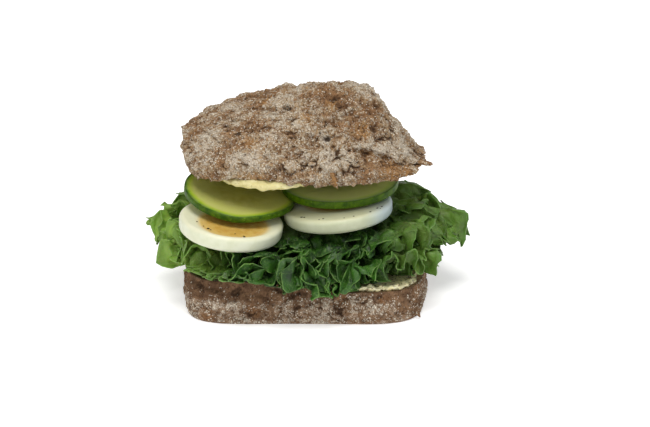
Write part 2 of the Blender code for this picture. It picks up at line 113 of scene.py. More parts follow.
Slice = namedtuple("Slice", "name x y z radius_x radius_y thickness tilt roll twist")
EGG_SLICES = (
    Slice("front_left", -0.0326, -0.0330, 0.0398, 0.0232, 0.0228, 0.0072, 4.5, 6.5, 0.0),
    Slice("front_right", 0.0145, -0.0220, 0.0432, 0.0245, 0.0240, 0.0066, 0.5, -6.0, 0.0),
    Slice("rear_left", -0.0250, 0.0300, 0.0475, 0.0215, 0.0220, 0.0070, -6.0, 1.5, 0.0),
    Slice("rear_right", 0.0245, 0.0330, 0.0460, 0.0225, 0.0215, 0.0068, -3.0, -2.0, 0.0),
)
CUCUMBER_SLICES = (
    Slice("front_left", -0.0290, -0.0195, 0.0499, 0.0248, 0.0248, 0.0028, 9.5, 9.0, 5.8),
    Slice("front_right", 0.0155, -0.0100, 0.0517, 0.0260, 0.0258, 0.0034, 4.0, -2.5, 0.0),
    Slice("rear_left", -0.0235, 0.0270, 0.0560, 0.0240, 0.0240, 0.0030, -4.0, 0.5, 0.0),
    Slice("rear_right", 0.0246, 0.0275, 0.0566, 0.0224, 0.0226, 0.0030, -2.2, -0.6, 0.0),
)
YOLK_RADIUS = 0.0140
YOLK_OFFSETS = {
    "front_left": (0.0010, -0.0060),
    "front_right": (0.0000, 0.0050),
    "rear_left": (-0.0015, 0.0030),
    "rear_right": (0.0010, 0.0035),
}

Layer = namedtuple("Layer", "name share front rear right left reveal droop")
LAYERS = (
    Layer("low", 0.23, 0.0090, 0.0060, 0.0040, 0.0040, 0.0120, 0.0045),
    Layer("high", 0.73, 0.0065, 0.0030, 0.0200, 0.0165, 0.0, 0.0130),
)
TONGUE_NARROWNESS = 6
REVEAL_WIDTH = 0.45
HANG_FRONT, HANG_TO_LEFT, HANG_TO_REAR = 0.85, 0.40, 0.50
DROOP_START, DROOP_END = 0.001, 0.020

# Frills of the lettuce
LOBE_SWAY, LOBE_SLIDE = 4.6, 0.0030
FRILLS, CRIMPS = 27, 66
FRILL_FOLD = 0.74
CURL_STRAY = math.radians(70)
CURL_LEAST, CURL_MOST = math.radians(-95), math.radians(125)
LEAF_LAP, LEAF_LIFT = 0.07, 0.0007
SAG_X, SAG_WIDTH, SAG_DEPTH = 0.0050, 0.0170, 0.0024
LEAST_HEIGHT, TONGUE_OVERHANG = 0.0010, 0.0060
LEFT_LIFT = 0.0026
STEEPEST = 0.30
LOBE_STRAY = 2.6
SWELL = 0.0017
CRIMP_FRONT, CRIMP_SIDE = 0.0006, 0.0011
WAVE_SIZE, WAVE_HEIGHT = 0.0075, 0.0030
WAVELET_SIZE, WAVELET_HEIGHT = 0.0034, 0.0012
# The reach at which the edge becomes a tongue, and how far each tongue is drawn in: at its rear,
# at its front, and where it turns from the one to the other
TONGUE_START, TONGUE_END = 0.008, 0.016
TONGUE_DRAWN_LEFT, TONGUE_LEFT_TURN = (0.0086, 0.0022), (-0.05, 0.22)
TONGUE_DRAWN_RIGHT, TONGUE_RIGHT_TURN = (0.0022, 0.0085), (0.14, 0.38)
# Notches, teeth and nibs along a leaf's edge: how many in a full turn, and their depth at the
# front and at the side
NOTCHES, NOTCH_FRONT, NOTCH_SIDE = 12, 0.0024, 0.0130
TEETH, TOOTH_FRONT, TOOTH_SIDE = 34, 0.0030, 0.0066
NIBS, NIB_FRONT, NIB_SIDE = 150, 0.0010, 0.0036
TIP_DROP, TIP_DROP_START, TIP_DROP_END = 0.0050, 0.046, 0.074

# The sheets that a leaf is crowded into: their place between floor and roof, what they add to
# the leaf's reach at its front and at its side, the length of their frill, how they curl in
# degrees, their lobes, and how much of the leaf's droop they take
Sheet = namedtuple("Sheet", "level front side length curl swing lobes droop seed")
SHEETS = {
    "low": (
        Sheet(0.10, -0.0022, -0.0006, 0.0120, 22, 62, 11, 1.0, 1.0),
        Sheet(0.34, -0.0030, -0.0010, 0.0130, 12, 84, 13, 1.0, 32.0),
    ),
    "high": (
        Sheet(0.52, -0.0030, -0.0100, 0.0140, 16, 86, 12, 1.6, 7.0),
        Sheet(0.74, -0.0090, -0.0050, 0.0150, 18, 88, 14, 0.8, 57.0),
        Sheet(0.92, -0.0170, -0.0150, 0.0150, 30, 80, 12, 0.3, 83.0),
    ),
}

# Resolution of the pieces

DOME_CELLS = 276
RIM_ROWS = 10
BASE_SEGMENTS = 640
BASE_SIDE_ROWS = 30
LEAF_COLUMNS = 640
FLAT_ROWS, FRILL_ROWS = 14, 26
DISC_SEGMENTS = 160
SPREAD_SEGMENTS = 420
FLAKE_SEGMENTS, FLAKE_ROWS = 48, 14


def smoothstep(low, high, value):
    share = min(max((value - low) / (high - low), 0.0), 1.0)
    return share * share * (3 - 2 * share)


def blend(first, second, share):
    return first + (second - first) * share


def polar(angle, radius=1.0, height=0.0):
    return Vector((radius * math.cos(angle), radius * math.sin(angle), height))


def rounded_square(angle, half_width, half_depth, squareness):
    across = abs(math.cos(angle)) / half_width
    along = abs(math.sin(angle)) / half_depth
    return (across**squareness + along**squareness) ** (-1 / squareness)


def uneven(angle, seed, size):
    place = OUTLINE_LUMPINESS * polar(angle)
    return size * noise.noise(place + Vector((0.0, 0.0, seed)))


def round_noise(angle, frequency, seed):
    """Noise round the outline that meets itself after a full turn."""
    return noise.noise(polar(angle, frequency, seed))


def crust_relief(point):
    lumps = LUMP_HEIGHT * noise.noise(point / LUMP_SIZE)
    nearest = noise.voronoi(point / PLATE_SIZE)[0]
    crack = 1 - smoothstep(0.0, CRACK_WIDTH, nearest[1] - nearest[0])
    crack *= 1 - CRACK_FADE * smoothstep(CRACK_FADE_START, CRACK_FADE_END, point.x)
    return lumps - CRACK_DEPTH * crack


def base_radius(angle):
    outline = rounded_square(angle, BASE_HALF_WIDTH, BASE_HALF_DEPTH, BASE_SQUARENESS)
    return outline + uneven(angle, 3.0, BASE_UNEVENNESS)


def near_angle(angle, middle, width):
    turn = (angle - middle + math.pi) % (2 * math.pi) - math.pi
    return math.exp(-((turn / width) ** 2))


def lid_radius(angle):
    corner = LID_CORNER_REACH * near_angle(angle, LID_CORNER_ANGLE, LID_CORNER_WIDTH)
    corner -= LID_REAR_CUT * near_angle(angle, LID_REAR_CUT_ANGLE, LID_REAR_CUT_WIDTH)
    outline = rounded_square(angle, LID_HALF_WIDTH, LID_HALF_DEPTH, LID_SQUARENESS)
    return outline + corner + uneven(angle, 8.0, LID_UNEVENNESS)


def rim_rise(x, y):
    towards = math.cos(RIM_RISE_ANGLE) * x + math.sin(RIM_RISE_ANGLE) * y
    return RIM_RISE * smoothstep(RIM_RISE_START, RIM_RISE_END, towards)


def lip_share(x, y):
    across = (x - SPREAD_LIP_X) / SPREAD_LIP_REACH
    along = (y - SPREAD_LIP_Y) / SPREAD_LIP_DEPTH
    return 1 - smoothstep(0.3, 1.2, math.hypot(across, along))


def lid_cut_height(x, y):
    return LID_CUT_HEIGHT + SPREAD_LIP_HEIGHT * lip_share(x, y)


def lid_slope(angle):
    return smoothstep(0.0, 0.9, math.cos(angle - LID_SLOPE_ANGLE))


def lid_bulge(angle):
    return LID_BULGE_HEIGHT * (1 - 0.9 * lid_slope(angle))


def lid_dome_share(share, angle):
    slope = lid_slope(angle)
    fullness = blend(*LID_FULLNESS, slope)
    steepness = blend(*LID_STEEPNESS, slope)
    return max(0.0, 1 - share**fullness) ** steepness


def lid_point(angle, radius, height, inwards=0.0):
    x = radius * math.cos(angle) + LID_CENTRE_X + inwards * LID_PEAK_X
    y = radius * math.sin(angle) + LID_CENTRE_Y
    return Vector((x, y, height))


def disc_place(across, along):
    if abs(across) > abs(along):
        turn = 0.0 if across > 0 else math.pi
        return abs(across), turn + math.pi / 4 * along / across
    if along == 0:
        return 0.0, 0.0
    turn = math.pi / 2 if along > 0 else -math.pi / 2
    return abs(along), turn - math.pi / 4 * across / along


def square_outline(cells):
    run = range(cells)
    sides = [[(i, 0) for i in run], [(cells, i) for i in run]]
    sides += [[(cells - i, cells) for i in run], [(0, cells - i) for i in run]]
    return [place for side in sides for place in side]


def lower_spread_outline(angle):
    shows = math.exp(-(((angle - SHOWS_ANGLE) / SHOWS_WIDTH) ** 2))
    rim = base_radius(angle) - BASE_CUT_INSET
    rise = rim_rise(rim * math.cos(angle), rim * math.sin(angle))
    inset = blend(LOWER_SPREAD_INSET, SHOWS_INSET, shows) + rise
    radius = rim - inset + uneven(angle, 5.0, LOWER_SPREAD_UNEVENNESS) * (1 - shows)
    return radius * math.cos(angle), radius * math.sin(angle)


def upper_spread_outline(angle):
    rim = lid_radius(angle) - LID_CUT_INSET
    edge = lid_point(angle, rim, 0.0)
    reach = blend(-UPPER_SPREAD_INSET, SPREAD_LIP_OUT, lip_share(edge.x, edge.y))
    return tuple(lid_point(angle, rim + reach, 0.0).xy)


def lean_of(part):
    return Euler((math.radians(part.tilt), math.radians(part.roll), 0.0)).to_matrix()


def stance(part):
    """A slice's turn and its middle."""
    return lean_of(part), Vector((part.x, part.y, part.z))


def underside(part, x, y):
    normal = lean_of(part) @ Vector((0, 0, 1))
    dx, dy = x - part.x, y - part.y
    plane = part.z - (normal.x * dx + normal.y * dy) / normal.z
    beyond = max(0.0, math.hypot(dx / part.radius_x, dy / part.radius_y) - 1) * part.radius_x
    return plane - part.thickness / 2 / normal.z - 2 * CLEARANCE + ROOF_RISE * beyond


def roof(x, y):
    cap = ROOF_CAP - ROOF_FALL * max(0.0, y - ROOF_FALL_START)
    return min([cap] + [underside(part, x, y) for part in EGG_SLICES + CUCUMBER_SLICES])


def floor(x, y):
    angle = math.atan2(y, x)
    rim = base_radius(angle)
    rise = rim_rise(rim * math.cos(angle), rim * math.sin(angle))
    return LEAF_FLOOR + rise * smoothstep(0.60, 0.86, math.hypot(x, y) / rim)


def layer_reach(layer, angle):
    side = layer.right if math.cos(angle) > 0 else layer.left
    end = blend(layer.front, layer.rear, smoothstep(-0.5, 0.5, math.sin(angle)))
    tongue = abs(math.cos(angle)) ** TONGUE_NARROWNESS
    drawn_back = layer.reveal * near_angle(angle, SHOWS_ANGLE, REVEAL_WIDTH)
    return blend(end, side, tongue) - drawn_back


# Meshes


def make_piece(name, points, faces, finish, node, slot, **values):
    """A smooth mesh object from points and faces, with one attribute for each list of values."""
    mesh = bpy.data.meshes.new(name)
    points = np.asarray([tuple(point) for point in points], dtype=np.float32)
    faces = np.asarray(faces, dtype=np.int32)
    mesh.vertices.add(len(points))
    mesh.vertices.foreach_set("co", points.ravel())
    mesh.loops.add(faces.size)
    mesh.loops.foreach_set("vertex_index", faces.ravel())
    mesh.polygons.add(len(faces))
    mesh.polygons.foreach_set("loop_start", np.arange(0, faces.size, faces.shape[1]))
    mesh.update(calc_edges=True)
    body = bmesh.new()
    body.from_mesh(mesh)
    bmesh.ops.recalc_face_normals(body, faces=body.faces)
    body.to_mesh(mesh)
    body.free()
    mesh.shade_smooth()
    for key, value in values.items():
        layer = mesh.attributes.new(key, "FLOAT", "POINT")
        layer.data.foreach_set("value", np.asarray(value, dtype=np.float32))
    mesh.materials.append(finish)
    made = bpy.data.objects.new(name, mesh)
    bpy.context.scene.collection.objects.link(made)
    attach(made, "root")
    if node:
        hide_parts(node)
    return made


def full_turn(count):
    """The angles of this many points round a ring."""
    return [2 * math.pi * i / count for i in range(count)]


class Rings:
    """Points in closed rings, one outside or above the other, and the quads between them."""

    def __init__(self):
        self.points, self.faces, self.values = [], [], {}

    def ring(self, points, **values):
        """A ring of points, where each value is one number for all or a number for each."""
        start, count = len(self.points), len(points)
        self.points += points
        for key, value in values.items():
            column = self.values.setdefault(key, [])
            column += list(value) if isinstance(value, (list, tuple)) else [value] * count
        return range(start, start + count)

    def join(self, first, second):
        count = len(first)
        for i in range(count):
            j = (i + 1) % count
            self.faces.append((first[i], first[j], second[j], second[i]))

    def join_all(self, rings):
        for first, second in zip(rings, rings[1:]):
            self.join(first, second)


# Shaders


def rgb(red, green, blue):
    """A colour given as the values 0 to 255 that a screen shows."""
    linear = []
    for value in (red, green, blue):
        share = value / 255
        linear.append(share / 12.92 if share <= 0.04045 else ((share + 0.055) / 1.055) ** 2.4)
    return (*linear, 1.0)


class Value:
    """A number that a material's nodes work out for each place."""

    def __init__(self, finish, socket):
        self.finish, self.socket = finish, socket

    def __add__(self, other):
        return self.finish.maths("ADD", self, other)

    def __sub__(self, other):
        return self.finish.maths("SUBTRACT", self, other)

    def __mul__(self, other):
        return self.finish.maths("MULTIPLY", self, other)

    def __abs__(self):
        return self.finish.maths("ABSOLUTE", self, 0.0)

    def span(self, low, high, start=0.0, end=1.0):
        """start where this is low and end where it is high, with a smooth rise between."""
        made = self.finish.node("MapRange", interpolation_type="SMOOTHSTEP")
        for socket, number in zip(made.inputs, (self, low, high, start, end)):
            self.finish.put(socket, number)
        return Value(self.finish, made.outputs[0])


class Finish:
    """A material's node tree, with short calls for the nodes that are used here."""

    def __init__(self, name, roughness, **settings):
        self.material = bpy.data.materials.new(name)
        self.material.use_nodes = True
        self.tree = self.material.node_tree
        self.shader = self.tree.nodes["Principled BSDF"]
        self.place = self.tree.nodes.new("ShaderNodeTexCoord").outputs["Object"]
        settings["Roughness"] = roughness
        for key, value in settings.items():
            self.shader.inputs[key.replace("_", " ")].default_value = value

    def node(self, kind, **settings):
        made = self.tree.nodes.new("ShaderNode" + kind)
        for key, value in settings.items():
            setattr(made, key, value)
        return made

    def put(self, socket, value):
        if isinstance(value, Value):
            value = value.socket
        if isinstance(value, bpy.types.NodeSocket):
            self.tree.links.new(value, socket)
        else:
            socket.default_value = value

    def values(self, *names):
        """The mesh's own values with these names."""
        nodes = [self.node("Attribute", attribute_name=name) for name in names]
        return [Value(self, made.outputs["Fac"]) for made in nodes]

    def texture(self, kind, place, size, output):
        made = self.node("Tex" + kind)
        self.put(made.inputs["Vector"], place or self.place)
        made.inputs["Scale"].default_value = 1 / size
        return made, made.outputs[output]

    def noise(self, size, detail=3.0, rough=0.55, place=None, twist=0.0):
        made, fac = self.texture("Noise", place, size, "Fac")
        made.inputs["Detail"].default_value = detail
        made.inputs["Roughness"].default_value = rough
        made.inputs["Distortion"].default_value = twist
        return Value(self, fac)

    def cells(self, size, output="Distance", place=None):
        return Value(self, self.texture("Voronoi", place, size, output)[1])

    def maths(self, kind, first, second):
        made = self.node("Math", operation=kind)
        self.put(made.inputs[0], first)
        self.put(made.inputs[1], second)
        return Value(self, made.outputs[0])

    def mix(self, share, first, second, kind="MIX"):
        made = self.node("Mix", data_type="RGBA", blend_type=kind)
        self.put(made.inputs[0], share)
        self.put(made.inputs[6], first)
        self.put(made.inputs[7], second)
        return made.outputs[2]

    def ramp(self, value, *stops):
        made = self.node("ValToRGB")
        self.put(made.inputs[0], value)
        band = made.color_ramp
        while len(band.elements) < len(stops):
            band.elements.new(0.5)
        for element, (position, colour) in zip(band.elements, stops):
            element.position = position
            element.color = colour
        return made.outputs[0]

    def shifted(self, amount):
        """The place, moved so that a second noise of one size differs from the first."""
        made = self.node("VectorMath", operation="ADD")
        self.put(made.inputs[0], self.place)
        made.inputs[1].default_value = (amount, amount, amount)
        return made.outputs[0]

    def finish(self, colour, relief, depth, strength, roughness=None):
        """The material, with this colour and with this relief as bump."""
        made = self.node("Bump")
        made.inputs["Strength"].default_value = strength
        made.inputs["Distance"].default_value = depth
        self.put(made.inputs["Height"], relief)
        self.put(self.shader.inputs["Normal"], made.outputs["Normal"])
        self.put(self.shader.inputs["Base Color"], colour)
        if roughness:
            self.put(self.shader.inputs["Roughness"], roughness)
        return self.material


def crust_finish(name, brown, dusk, veil, gold, cover):
    """Rye crust under flour: grey veil and white grains over brown, with dark pits and painted
    shade.

    cover shifts how much of the crust the flour hides.
    """
    made = Finish(name, 0.95, Specular_IOR_Level=0.15)
    floury, golden, cavity, crumb = made.values("floury", "golden", "cavity", "crumb")
    skin = made.mix(made.noise(5 * MM, 4.0, 0.6).span(0.38, 0.62), dusk, brown)
    bare = golden * made.noise(2 * MM, 3.0, 0.6).span(0.3, 0.6, 0.45)
    skin = made.mix(bare.span(0.22, 0.75, 0.0, 0.70), skin, gold)
    shift = floury * 0.40 + (cover - 0.07) - golden * 0.12
    soft = made.noise(1.7 * MM, 4.0, 0.8) + shift
    dusty = made.mix(soft.span(0.50, 0.76, 0.0, 0.58), skin, veil)
    pits = made.noise(1.35 * MM, 4.0, 0.85, place=made.shifted(0.31), twist=0.5)
    dusty = made.mix(pits.span(0.50, 0.60, 0.0, 0.82), dusty, rgb(70, 49, 34))
    grain = made.noise(1.5 * MM, 4.0, 0.9, twist=0.6) + shift * 0.6
    dusty = made.mix(grain.span(0.60, 0.70, 0.0, 0.70), dusty, rgb(214, 203, 186))
    sway = made.texture("Noise", None, 1.3 * MM, "Color")[1]
    bent = made.mix(0.0011, made.place, sway, kind="ADD")
    spot = made.cells(0.85 * MM, place=bent).span(0.22, 0.50, 1.0, 0.0)
    crowd = (made.noise(3.2 * MM, 3.0, 0.6) - 0.5) * 2.2 + shift * 1.1
    chosen = made.cells(0.85 * MM, output="Color", place=bent) + crowd
    flecks = spot * chosen.span(0.60, 0.76, 0.0, 0.96)
    dusty = made.mix(flecks, dusty, rgb(236, 227, 208))
    grit = made.noise(1.1 * MM, 3.0, 0.8, place=made.shifted(0.57), twist=0.4)
    dusty = made.mix(grit.span(0.56, 0.66, 0.0, 0.75), dusty, rgb(86, 66, 50))
    # painted shade: darker in the hollows and gashes of the crust
    dusty = made.mix(cavity.span(0.20, 1.0, 0.0, 0.88), dusty, rgb(52, 36, 26))
    pores = (0.0, rgb(92, 68, 46)), (0.28, rgb(150, 122, 88)), (0.7, rgb(176, 150, 112))
    colour = made.mix(crumb, dusty, made.ramp(made.cells(1.9 * MM), *pores))
    return made.finish(colour, grain - pits * 0.6 + flecks * 0.25, 0.0010, 0.9)


def leaf_finish(name, deep, bright, pale):
    made = Finish(
        name, 0.45, Specular_IOR_Level=0.4, Subsurface_Weight=0.20,
        Subsurface_Radius=(0.35, 1.0, 0.2), Subsurface_Scale=0.0014,
    )
    inset, heart, fresh = made.values("inset", "heart", "fresh")
    colour = made.mix(made.noise(8 * MM, 4.0, 0.6).span(0.34, 0.66), deep, bright)
    # lighter yellow-green: leaf colour at the left end, painted light at the right end
    colour = made.mix(fresh * 0.80, colour, rgb(144, 178, 70))
    ribs = made.noise(3.4 * MM, 2.0, 0.5, twist=0.8)
    lines = abs(ribs - 0.5).span(0.0, 0.022, 0.34, 0.0)
    colour = made.mix(lines, colour, pale)
    colour = made.mix(inset.span(0.0, 0.0060, 0.34, 0.0), colour, bright)
    patchy = made.noise(4 * MM, 2.0, 0.5).span(0.35, 0.60, 0.04, 0.40)
    colour = made.mix(inset.span(0.0, 0.0006, 1.0, 0.0) * patchy, colour, pale)
    colour = made.mix(heart * 0.7, colour, rgb(150, 172, 100))
    crinkle = made.noise(1.5 * MM, 3.0, 0.6)
    rough = crinkle.span(0.3, 0.7, 0.36, 0.56)
    return made.finish(colour, crinkle + lines * -0.5, 0.0005, 0.6, rough)


def egg_white_finish():
    made = Finish(
        "boiled egg white", 0.34, Specular_IOR_Level=0.42, Subsurface_Weight=0.35,
        Subsurface_Radius=(1.0, 0.9, 0.75), Subsurface_Scale=0.0022,
    )
    stain, face, grey, cool = made.values("stain", "face", "grey", "cool")
    cloud = made.noise(6 * MM, 3.0, 0.5)
    colour = made.mix(cloud.span(0.35, 0.7), rgb(218, 220, 196), rgb(208, 211, 182))
    colour = made.mix(face * 0.55, colour, rgb(226, 222, 190))
    colour = made.mix(stain, colour, rgb(214, 178, 98))
    # painted shade: the right front slice is greyer
    colour = made.mix(grey, colour, rgb(232, 234, 226), kind="MULTIPLY")
    # painted cool light towards the right end of the right front slice
    colour = made.mix(cool * 0.85, colour, rgb(184, 200, 208))
    rough = cloud.span(0.3, 0.7, 0.28, 0.44)
    return made.finish(colour, made.noise(1.3 * MM, 4.0, 0.6), 0.0002, 0.35, rough)


def yolk_finish():
    made = Finish(
        "boiled egg yolk", 0.62, Specular_IOR_Level=0.3, Subsurface_Weight=0.2,
        Subsurface_Radius=(1.0, 0.55, 0.15), Subsurface_Scale=0.0015,
    )
    (edge,) = made.values("edge")
    cloud = made.noise(3.5 * MM, 4.0, 0.6)
    colour = made.mix(cloud.span(0.34, 0.68), rgb(188, 146, 62), rgb(200, 166, 86))
    colour = made.mix(edge.span(0.80, 1.0, 0.0, 0.55), colour, rgb(212, 182, 112))
    return made.finish(colour, made.noise(0.6 * MM, 4.0, 0.7), 0.0003, 0.6)


def cucumber_finish():
    made = Finish(
        "cucumber slice", 0.46, Specular_IOR_Level=0.16, Subsurface_Weight=0.2,
        Subsurface_Radius=(0.6, 1.0, 0.3), Subsurface_Scale=0.0018,
    )
    ring, side, seeds, shaded = made.values("ring", "side", "seed", "shaded")
    cloud = made.noise(4 * MM, 4.0, 0.55)
    flesh = made.ramp(
        ring + (cloud - 0.5) * 0.02,
        (0.00, rgb(158, 154, 70)),
        (0.34, rgb(148, 146, 62)),
        (0.56, rgb(168, 168, 90)),
        (0.84, rgb(178, 182, 98)),
        (0.900, rgb(158, 176, 46)),
        (0.945, rgb(116, 152, 22)),
        (0.968, rgb(62, 106, 18)),
        (1.00, rgb(36, 72, 16)),
    )
    cloudy = made.mix(cloud.span(0.35, 0.7, 0.0, 0.28), flesh, rgb(176, 176, 112))
    cloudy = made.mix(seeds * 0.22, cloudy, rgb(190, 186, 120))
    cloudy = made.mix(shaded * 0.40, cloudy, rgb(158, 176, 140))
    streak = made.noise(3.2 * MM, 4.0, 0.65)
    skin = made.mix(streak.span(0.30, 0.72), rgb(40, 72, 0), rgb(78, 108, 0))
    spots = made.noise(1.5 * MM, 2.0, 0.5).span(0.62, 0.72, 0.0, 0.6)
    colour = made.mix(side, cloudy, made.mix(spots, skin, rgb(104, 138, 30)))
    return made.finish(colour, made.noise(1.2 * MM, 3.0, 0.6) + seeds * 0.25, 0.00025, 0.5)


def spread_finish(name, main, other, specks, share):
    made = Finish(
        name, 0.36, Specular_IOR_Level=0.45, Subsurface_Weight=0.25,
        Subsurface_Radius=(1.0, 0.85, 0.5), Subsurface_Scale=0.0015,
    )
    colour = made.mix(made.noise(3.2 * MM, 4.0, 0.6).span(0.35, 0.66), main, other)
    crumbs = made.noise(1.5 * MM, 3.0, 0.6)
    colour = made.mix(crumbs.span(share, share + 0.07, 0.0, 0.85), colour, specks)
    return made.finish(colour, made.noise(1.4 * MM, 3.0, 0.55), 0.0006, 0.6)


def plain_finish(name, low, high, size, roughness, distance):
    """Two close tones in a fine grain, for small things and the floor."""
    made = Finish(name, roughness, Specular_IOR_Level=0.2)
    grain = made.noise(size, 3.0, 0.6)
    return made.finish(made.mix(grain.span(0.35, 0.65), low, high), grain, distance, 0.5)


# Bread

Mark = namedtuple("Mark", "x y z long tall depth")

# Gashes in the upper crust, in millimetres: place, half length, half height and depth
GASHES = (
    Mark(9.5, -31.6, 79.2, 3.0, 1.1, 3.4),
    Mark(6.6, -28.5, 80.9, 1.3, 0.7, 1.2),
    Mark(-8.3, -11.7, 87.6, 4.6, 0.6, 1.1),
    Mark(-39.7, -8.1, 78.8, 1.3, 0.8, 1.2),
    Mark(-25.9, -40.7, 70.5, 2.2, 0.6, 1.1),
    Mark(2.4, -42.8, 70.0, 1.3, 0.7, 1.1),
    Mark(-29.6, -25.2, 80.0, 2.0, 0.6, 1.0),
)
# Blisters of the upper crust
BLISTERS = (
    Mark(-26.1, -37.8, 73.5, 5.2, 3.2, 1.5),
    Mark(19.9, -41.2, 70.0, 3.4, 3.0, 1.5),
    Mark(12.0, -27.1, 80.9, 4.0, 2.0, 1.6),
    Mark(27.4, -24.4, 79.0, 4.2, 3.4, 1.4),
    Mark(-14.6, -29.0, 80.2, 3.2, 2.6, 1.1),
    Mark(35.8, -23.9, 73.6, 4.0, 2.8, 1.4),
    Mark(1.5, -23.5, 84.8, 4.0, 3.0, 1.1),
    Mark(-40.2, -23.3, 75.7, 5.0, 3.6, 1.1),
)
# Bare golden places of the upper crust, in millimetres: place, half length and half height
GOLDEN = (
    Mark(-17.1, 1.3, 86.6, 4.4, 3.4, 0),
    Mark(0.2, -21.8, 85.6, 4.6, 3.4, 0),
    Mark(25.9, -23.3, 80.6, 4.6, 3.6, 0),
    Mark(-24.1, -42.2, 65.2, 9.0, 3.0, 0),
    Mark(-24.0, -32.3, 78.0, 5.0, 2.4, 0),
    Mark(39.3, -37.1, 64.7, 7.0, 3.8, 0),
    Mark(47.5, -29.2, 63.0, 6.0, 3.4, 0),
    Mark(12.1, -43.0, 64.6, 2.0, 4.6, 0),
    Mark(11.7, -13.0, 89.4, 3.0, 3.0, 0),
)
# Where the ledge of torn crust runs down to the right corner, and how far it stands out
LEDGE = ((18.0, 77.4), (27.6, 74.0), (35.3, 71.4), (41.0, 67.4), (47.4, 64.3), (57.0, 62.0))


def mark_share(mark, point):
    point = point + 0.0009 * noise.noise_vector(point / 0.0016)
    across = (point.x / MM - mark.x) / mark.long
    along = (point.y / MM - mark.y) / (mark.long + mark.tall)
    up = (point.z / MM - mark.z) / mark.tall
    return math.exp(-across * across - along * along - up * up)


def ledge_height(x):
    for (start, high), (end, low) in zip(LEDGE, LEDGE[1:]):
        if x < end:
            return blend(high, low, (x - start) / (end - start))
    return LEDGE[-1][1]


def ledge_relief(point):
    """Crust that stands out along the ledge and steps back below it, in metres."""
    x, y = point.x / MM, point.y / MM
    side = smoothstep(17.0, 27.0, x) * (1 - smoothstep(-18.0, -9.0, y))
    if side == 0:
        return 0.0
    wander = 0.9 * noise.noise(point / 0.004)
    below = ledge_height(x) + wander - point.z / MM
    if below > 0:
        return side * -0.0021 * math.exp(-below / 6.5) * smoothstep(0.0, 0.9, below)
    return side * (1 - smoothstep(33.0, 45.0, x)) * 0.0009 * math.exp(below / 3.0)


def crag(point):
    """Fine relief of the crust, from about -1 to 1: lumps of several sizes and narrow gaps."""
    warped = point + 0.0016 * noise.noise_vector(point / 0.005)
    distances = noise.voronoi(warped / 0.0064)[0]
    gap = 1 - smoothstep(0.0, 0.16, distances[1] - distances[0])
    gap *= smoothstep(-0.15, 0.35, noise.noise(point / 0.012))
    lumps = noise.fractal(point / 0.0060, 0.42, 2.1, 4)
    return 0.75 * lumps - 0.55 * gap + 0.30 * clump(point)


def clump(point):
    """Small flat flakes of crust crowded into each other, from about -1 to 1."""
    crowded = smoothstep(-0.30, 0.20, noise.noise(point / 0.013 + Vector((0.0, 0.0, 4.0))))
    warped = point + 0.0011 * noise.noise_vector(point / 0.0019)
    distances = noise.voronoi(warped / 0.0027)[0]
    return (0.2 + 0.8 * crowded) * (1.1 * smoothstep(0.0, 0.5, distances[1] - distances[0]) - 0.55)


def crusted(point, outwards, amount, height=0.0019):
    """The point with the fine relief, and its flour, painted shade and golden values."""
    relief = crag(point) * amount
    patch = noise.noise(point / 0.016 + Vector((5.0, 0.0, 0.0)))
    patch += 0.45 * noise.noise(point / 0.0062 + Vector((5.0, 0.0, 0.0)))
    floury = min(max(0.50 + 0.55 * relief + 0.50 * patch, 0.0), 1.0)
    # painted shade, deeper where the relief sinks
    cavity = 0.8 * smoothstep(0.25, 0.80, -relief)
    spare = noise.noise(point / 0.011 + Vector((0.0, 9.0, 0.0)))
    golden = 0.55 * smoothstep(0.26, 0.60, spare)
    return point + outwards * relief * height, floury, cavity, golden


def dome_base(share, angle, middle):
    """The upper half's surface with its large relief, as the solid has it."""
    bulge = lid_bulge(angle)
    height = bulge + (LID_DOME_HEIGHT - bulge) * lid_dome_share(share, angle)
    point = lid_point(angle, share * lid_radius(angle), LID_CUT_HEIGHT + height, 1 - share)
    lift = SPREAD_LIP_HEIGHT * lip_share(point.x, point.y)
    point.z += LID_LIP_CARRY * lift * smoothstep(0.9, 1.0, share)
    return point + (point - middle).normalized() * crust_relief(point)


def marked(point, outwards, values):
    """The crust's own gashes, golden places and ledge added to a point and its values."""
    moved, floury, cavity, golden = values
    for gash in GASHES:
        share = mark_share(gash, point)
        moved = moved - outwards * share * gash.depth * MM
        # painted shade inside the gash
        cavity = max(cavity, smoothstep(0.30, 0.9, share))
    for blister in BLISTERS:
        share = mark_share(blister, point)
        moved = moved + outwards * share * blister.depth * MM
        floury = min(1.0, floury + 0.30 * share)
    for spot in GOLDEN:
        share = mark_share(spot, point)
        golden = max(golden, 1.1 * share)
        moved = moved - outwards * 0.0004 * share
    step = ledge_relief(point)
    moved = moved + outwards * step
    low = 1 - smoothstep(0.070, 0.078, point.z)
    floury = min(1.0, floury + 0.22 * low * smoothstep(0.0, 0.020, -point.y))
    if step < 0:
        floury -= 0.22 * min(1.0, -step / 0.0010)
        golden = max(golden, 0.62 * min(1.0, -step / 0.0016))
    return moved, floury, cavity, golden


def crust_ring(made, line, values):
    """A ring of crust with the flour, painted shade and golden values of its points."""
    floury, cavity, golden = zip(*values)
    return made.ring(line, floury=floury, cavity=cavity, golden=golden, crumb=0.0)


